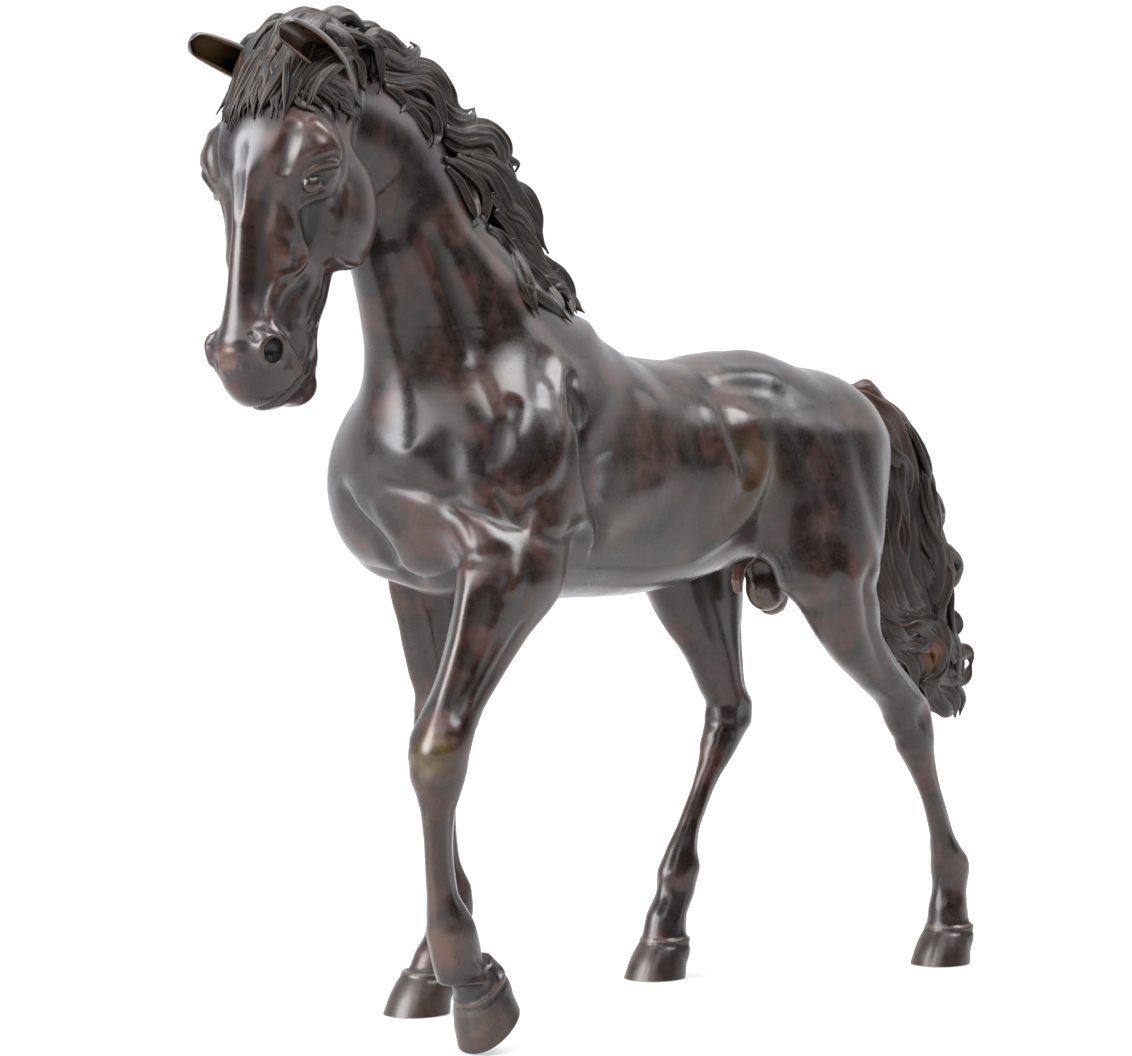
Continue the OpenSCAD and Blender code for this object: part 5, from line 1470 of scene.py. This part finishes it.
# ------------------------------------------------------------------ ears, sheath, scrotum
def build_ear(name, m, base, tip, opening, bow):
    """A cupped leaf: C-shaped sections lofted from the root to the tip."""
    o, R = HEAD_FRAME
    base, tip, opening, bow = [np.array(v, float) for v in (base, tip, opening, bow)]
    rows = 46
    S = np.linspace(0, 1, rows)
    axis = base + (tip - base) * S[:, None] + bow * (4 * S * (1 - S))[:, None]
    T = np.gradient(axis, axis=0)
    T /= np.linalg.norm(T, axis=1, keepdims=True)
    O = opening - (opening * T).sum(1, keepdims=True) * T
    O /= np.linalg.norm(O, axis=1, keepdims=True)
    B = np.cross(T, O)
    rad = pchip([0, 0.12, 0.3, 0.5, 0.7, 0.86, 0.95, 1], [5.2, 6.2, 7.2, 7.3, 6.8, 5.9, 4.8, 1.6], S)[:, 0]
    gap = np.radians(pchip([0, 0.1, 0.28, 0.5, 0.75, 1], [8, 26, 50, 62, 72, 80], S)[:, 0])
    th = pchip([0, 0.3, 0.8, 1], [2.0, 1.7, 1.3, 0.4], S)[:, 0]
    na, nr = 26, 4
    V, W = [], []
    for i in range(rows):
        r, g, t = rad[i], gap[i], th[i]
        rim = t / 2
        ang = np.linspace(g, 2 * math.pi - g, na)                   # 0 points to the opening
        outer = [(r * math.cos(a), r * math.sin(a)) for a in ang]
        inner = [((r - t) * math.cos(a), (r - t) * math.sin(a)) for a in ang[::-1]]
        def roll(a, sgn):
            c = ((r - rim) * math.cos(a), (r - rim) * math.sin(a))
            res = []
            for k in range(1, nr + 1):
                b = a + sgn * math.pi * k / (nr + 1)
                res.append((c[0] + rim * 1.15 * math.cos(b), c[1] + rim * 1.15 * math.sin(b)))
            return res
        loop = outer + roll(ang[-1], 1) + inner + roll(ang[0], 1)[::1]
        # second roll goes from the inner side back to the outer side
        c = ((r - rim) * math.cos(ang[0]), (r - rim) * math.sin(ang[0]))
        back = [(c[0] + rim * 1.15 * math.cos(ang[0] + math.pi + math.pi * k / (nr + 1)), c[1] + rim * 1.15 * math.sin(ang[0] + math.pi + math.pi * k / (nr + 1))) for k in range(1, nr + 1)]
        loop = outer + roll(ang[-1], 1) + inner + back
        V.append([axis[i] + O[i] * a + B[i] * b for a, b in loop])
        # values for the material: outer side 0.5, rolled rims 0.8 (rubbed), inner side 0.34 for a faint painted shade
        # inside the cup
        W.append([0.5] * na + [0.8] * nr + [0.34] * na + [0.8] * nr)
    ring = len(V[0])
    V = np.array(V).reshape(-1, 3)
    W = np.array(W).reshape(-1)
    i = np.arange(rows - 1)[:, None] * ring
    j = np.arange(ring)[None]
    j2 = (j + 1) % ring
    q = np.stack([i + j, i + ring + j, i + ring + j2, i + j2], -1).reshape(-1, 4)
    V = np.r_[V, [axis[0] - T[0] * 2, axis[-1] + T[-1] * 0.4]]
    W = np.r_[W, [0.3, 0.9]]
    c0, c1, last = rows * ring, rows * ring + 1, (rows - 1) * ring
    j, j2 = j[0], j2[0]
    t3 = np.r_[np.stack([np.full(ring, c0), j, j2], -1), np.stack([np.full(ring, c1), last + j2, last + j], -1)]
    V = o + V @ R.T
    # orientation: the volume must come out positive
    tri = np.r_[q[:, [0, 1, 2]], q[:, [0, 2, 3]], t3]
    vol = (V[tri[:, 0]] * np.cross(V[tri[:, 1]], V[tri[:, 2]])).sum()
    if vol < 0:
        q, t3 = q[:, ::-1], t3[:, ::-1]
    me = new_mesh(name, V, np.r_[q.ravel(), t3.ravel()], np.r_[np.full(len(q), 4), np.full(len(t3), 3)], W)
    as_piece(name, me, name, EARM)


def build_groin():
    F = Field([-18, 52, 178], [16, 118, 222], 0.7)
    F.rope([(0, 76, 214, 7), (0, 70, 207, 4.2), (0, 68.3, 200, 3.3), (0, 69, 195.5, 2.4)], 2)
    F.line([(4, 66, 206), (3, 66, 200), (2, 67, 196)], -0.4, 1.0)
    v, q = F.mesh()
    me = new_mesh("sheath", v, q.ravel(), np.full(len(q), 4), 0.5 + 2 * F.curve(v))
    as_piece("sheath", me, "sheath", RUBBED)
    F = Field([-22, 66, 172], [20, 124, 222], 0.7)
    F.ball((1, 90, 196), (10, 10.5, 11.8), (0, 0, 0), 3)
    F.ball((-6, 103, 192), (8.5, 9, 10.5), (0, 0, 0), 1.2)
    F.ball((-2, 94, 208), (13, 15, 9), (0, 0, 0), 5)
    F.bump((4, 82, 203), (4, 4, 4), -1.2)
    F.ball((8.0, 81.5, 193), (1.2, 1.2, 1.2), (0, 0, 0), 0.3, cut=True)
    F.line([(-12, 104, 185), (-4, 110, 183), (1, 106, 184)], -0.6, 1.2)
    v, q = F.mesh()
    me = new_mesh("scrotum", v, q.ravel(), np.full(len(q), 4), 0.5 + 2 * F.curve(v))
    as_piece("scrotum", me, "scrotum", RUBBED)


# ------------------------------------------------------------------ assembly
F = build_body()
log("body field", F.f.shape)
G = build_head()
log("head field", G.f.shape)
NECK_C, NECK_N = (0, -104, 296), (0, -math.sin(math.radians(27)), math.cos(math.radians(27)))
up, dn = (0, 0, 1), (0, 0, -1)
neg = tuple(-a for a in NECK_N)
cut_piece(F, "forequarter", (-70, -190, 184), (70, 12, 345), [((0, 8, 0), (0, 1, 0)), (NECK_C, NECK_N), ((0, 0, 190), dn)], ["forequarter_shell", "core_plugs"], BRONZE)
cut_piece(F, "hindquarter", (-70, 4, 184), (70, 176, 345), [((0, 8, 0), (0, -1, 0)), ((0, 0, 190), dn)], "hindquarter_shell", BRONZE)
cut_piece(F, "neck", (-60, -190, 236), (60, -40, 436), [(NECK_C, neg), ((0, -184, 0), (0, -1, 0))], "neck_shell", BRONZE)
cut_piece(G, "head", (-40, -292, 262), (66, -181, 450), [((0, -184, 0), (0, 1, 0))], "head_shell", SKIN)
log("trunk, neck, head")
for side, m in (("left", 1), ("right", -1)):
    x0, x1 = (8, 74) if m > 0 else (-74, -8)
    for fore in (True, False):
        y0, y1 = (-212, 4) if fore else (12, 216)
        upper = "_forearm" if fore else "_gaskin"
        low = "_fore_" if fore else "_hind_"
        cut_piece(F, side + upper, (x0, y0, 108), (x1, y1, 194), [((0, 0, 190), up), ((0, 0, 112), dn)], side + upper, BRONZE)
        if m > 0 and fore:
            nb = LF_FOOT[:, 2]
            cb = LF_TOE + nb * 19.5
            cut_piece(F, "left_fore_cannon", (x0, y0, -4), (x1, y1, 116), [((0, 0, 112), up), (cb, -nb)], "left_fore_cannon", BRONZE)
            cut_piece(F, "left_fore_hoof", (x0, y0, -8), (x1, y1, 48), [(cb, nb), (LF_TOE, -nb)], "left_fore_hoof", HOOF)
        else:
            cut_piece(F, side + low + "cannon", (x0, y0, 16), (x1, y1, 116), [((0, 0, 112), up), ((0, 0, 20), dn)], side + low + "cannon", BRONZE)
            cut_piece(F, side + low + "hoof", (x0, y0, -4), (x1, y1, 24), [((0, 0, 20), up), ((0, 0, 0), dn)], side + low + "hoof", HOOF)
log("legs")
build_mane()
build_forelock(G)
build_tail()
build_ear("left_ear", 1, (16, -32, 415), (22, -86, 431.5), (0.70, -0.35, -0.62), (1.5, 0, 2.5))
build_ear("right_ear", -1, (-16, -32, 415), (-29, -80, 430), (0.62, -0.72, -0.25), (-1, 0, 2.0))
build_groin()
for o in frame["nodes"].values():
    if any(k in o.name for k in ("dowel",)):
        o.data.materials.clear()
        o.data.materials.append(BRASS)
log("done")
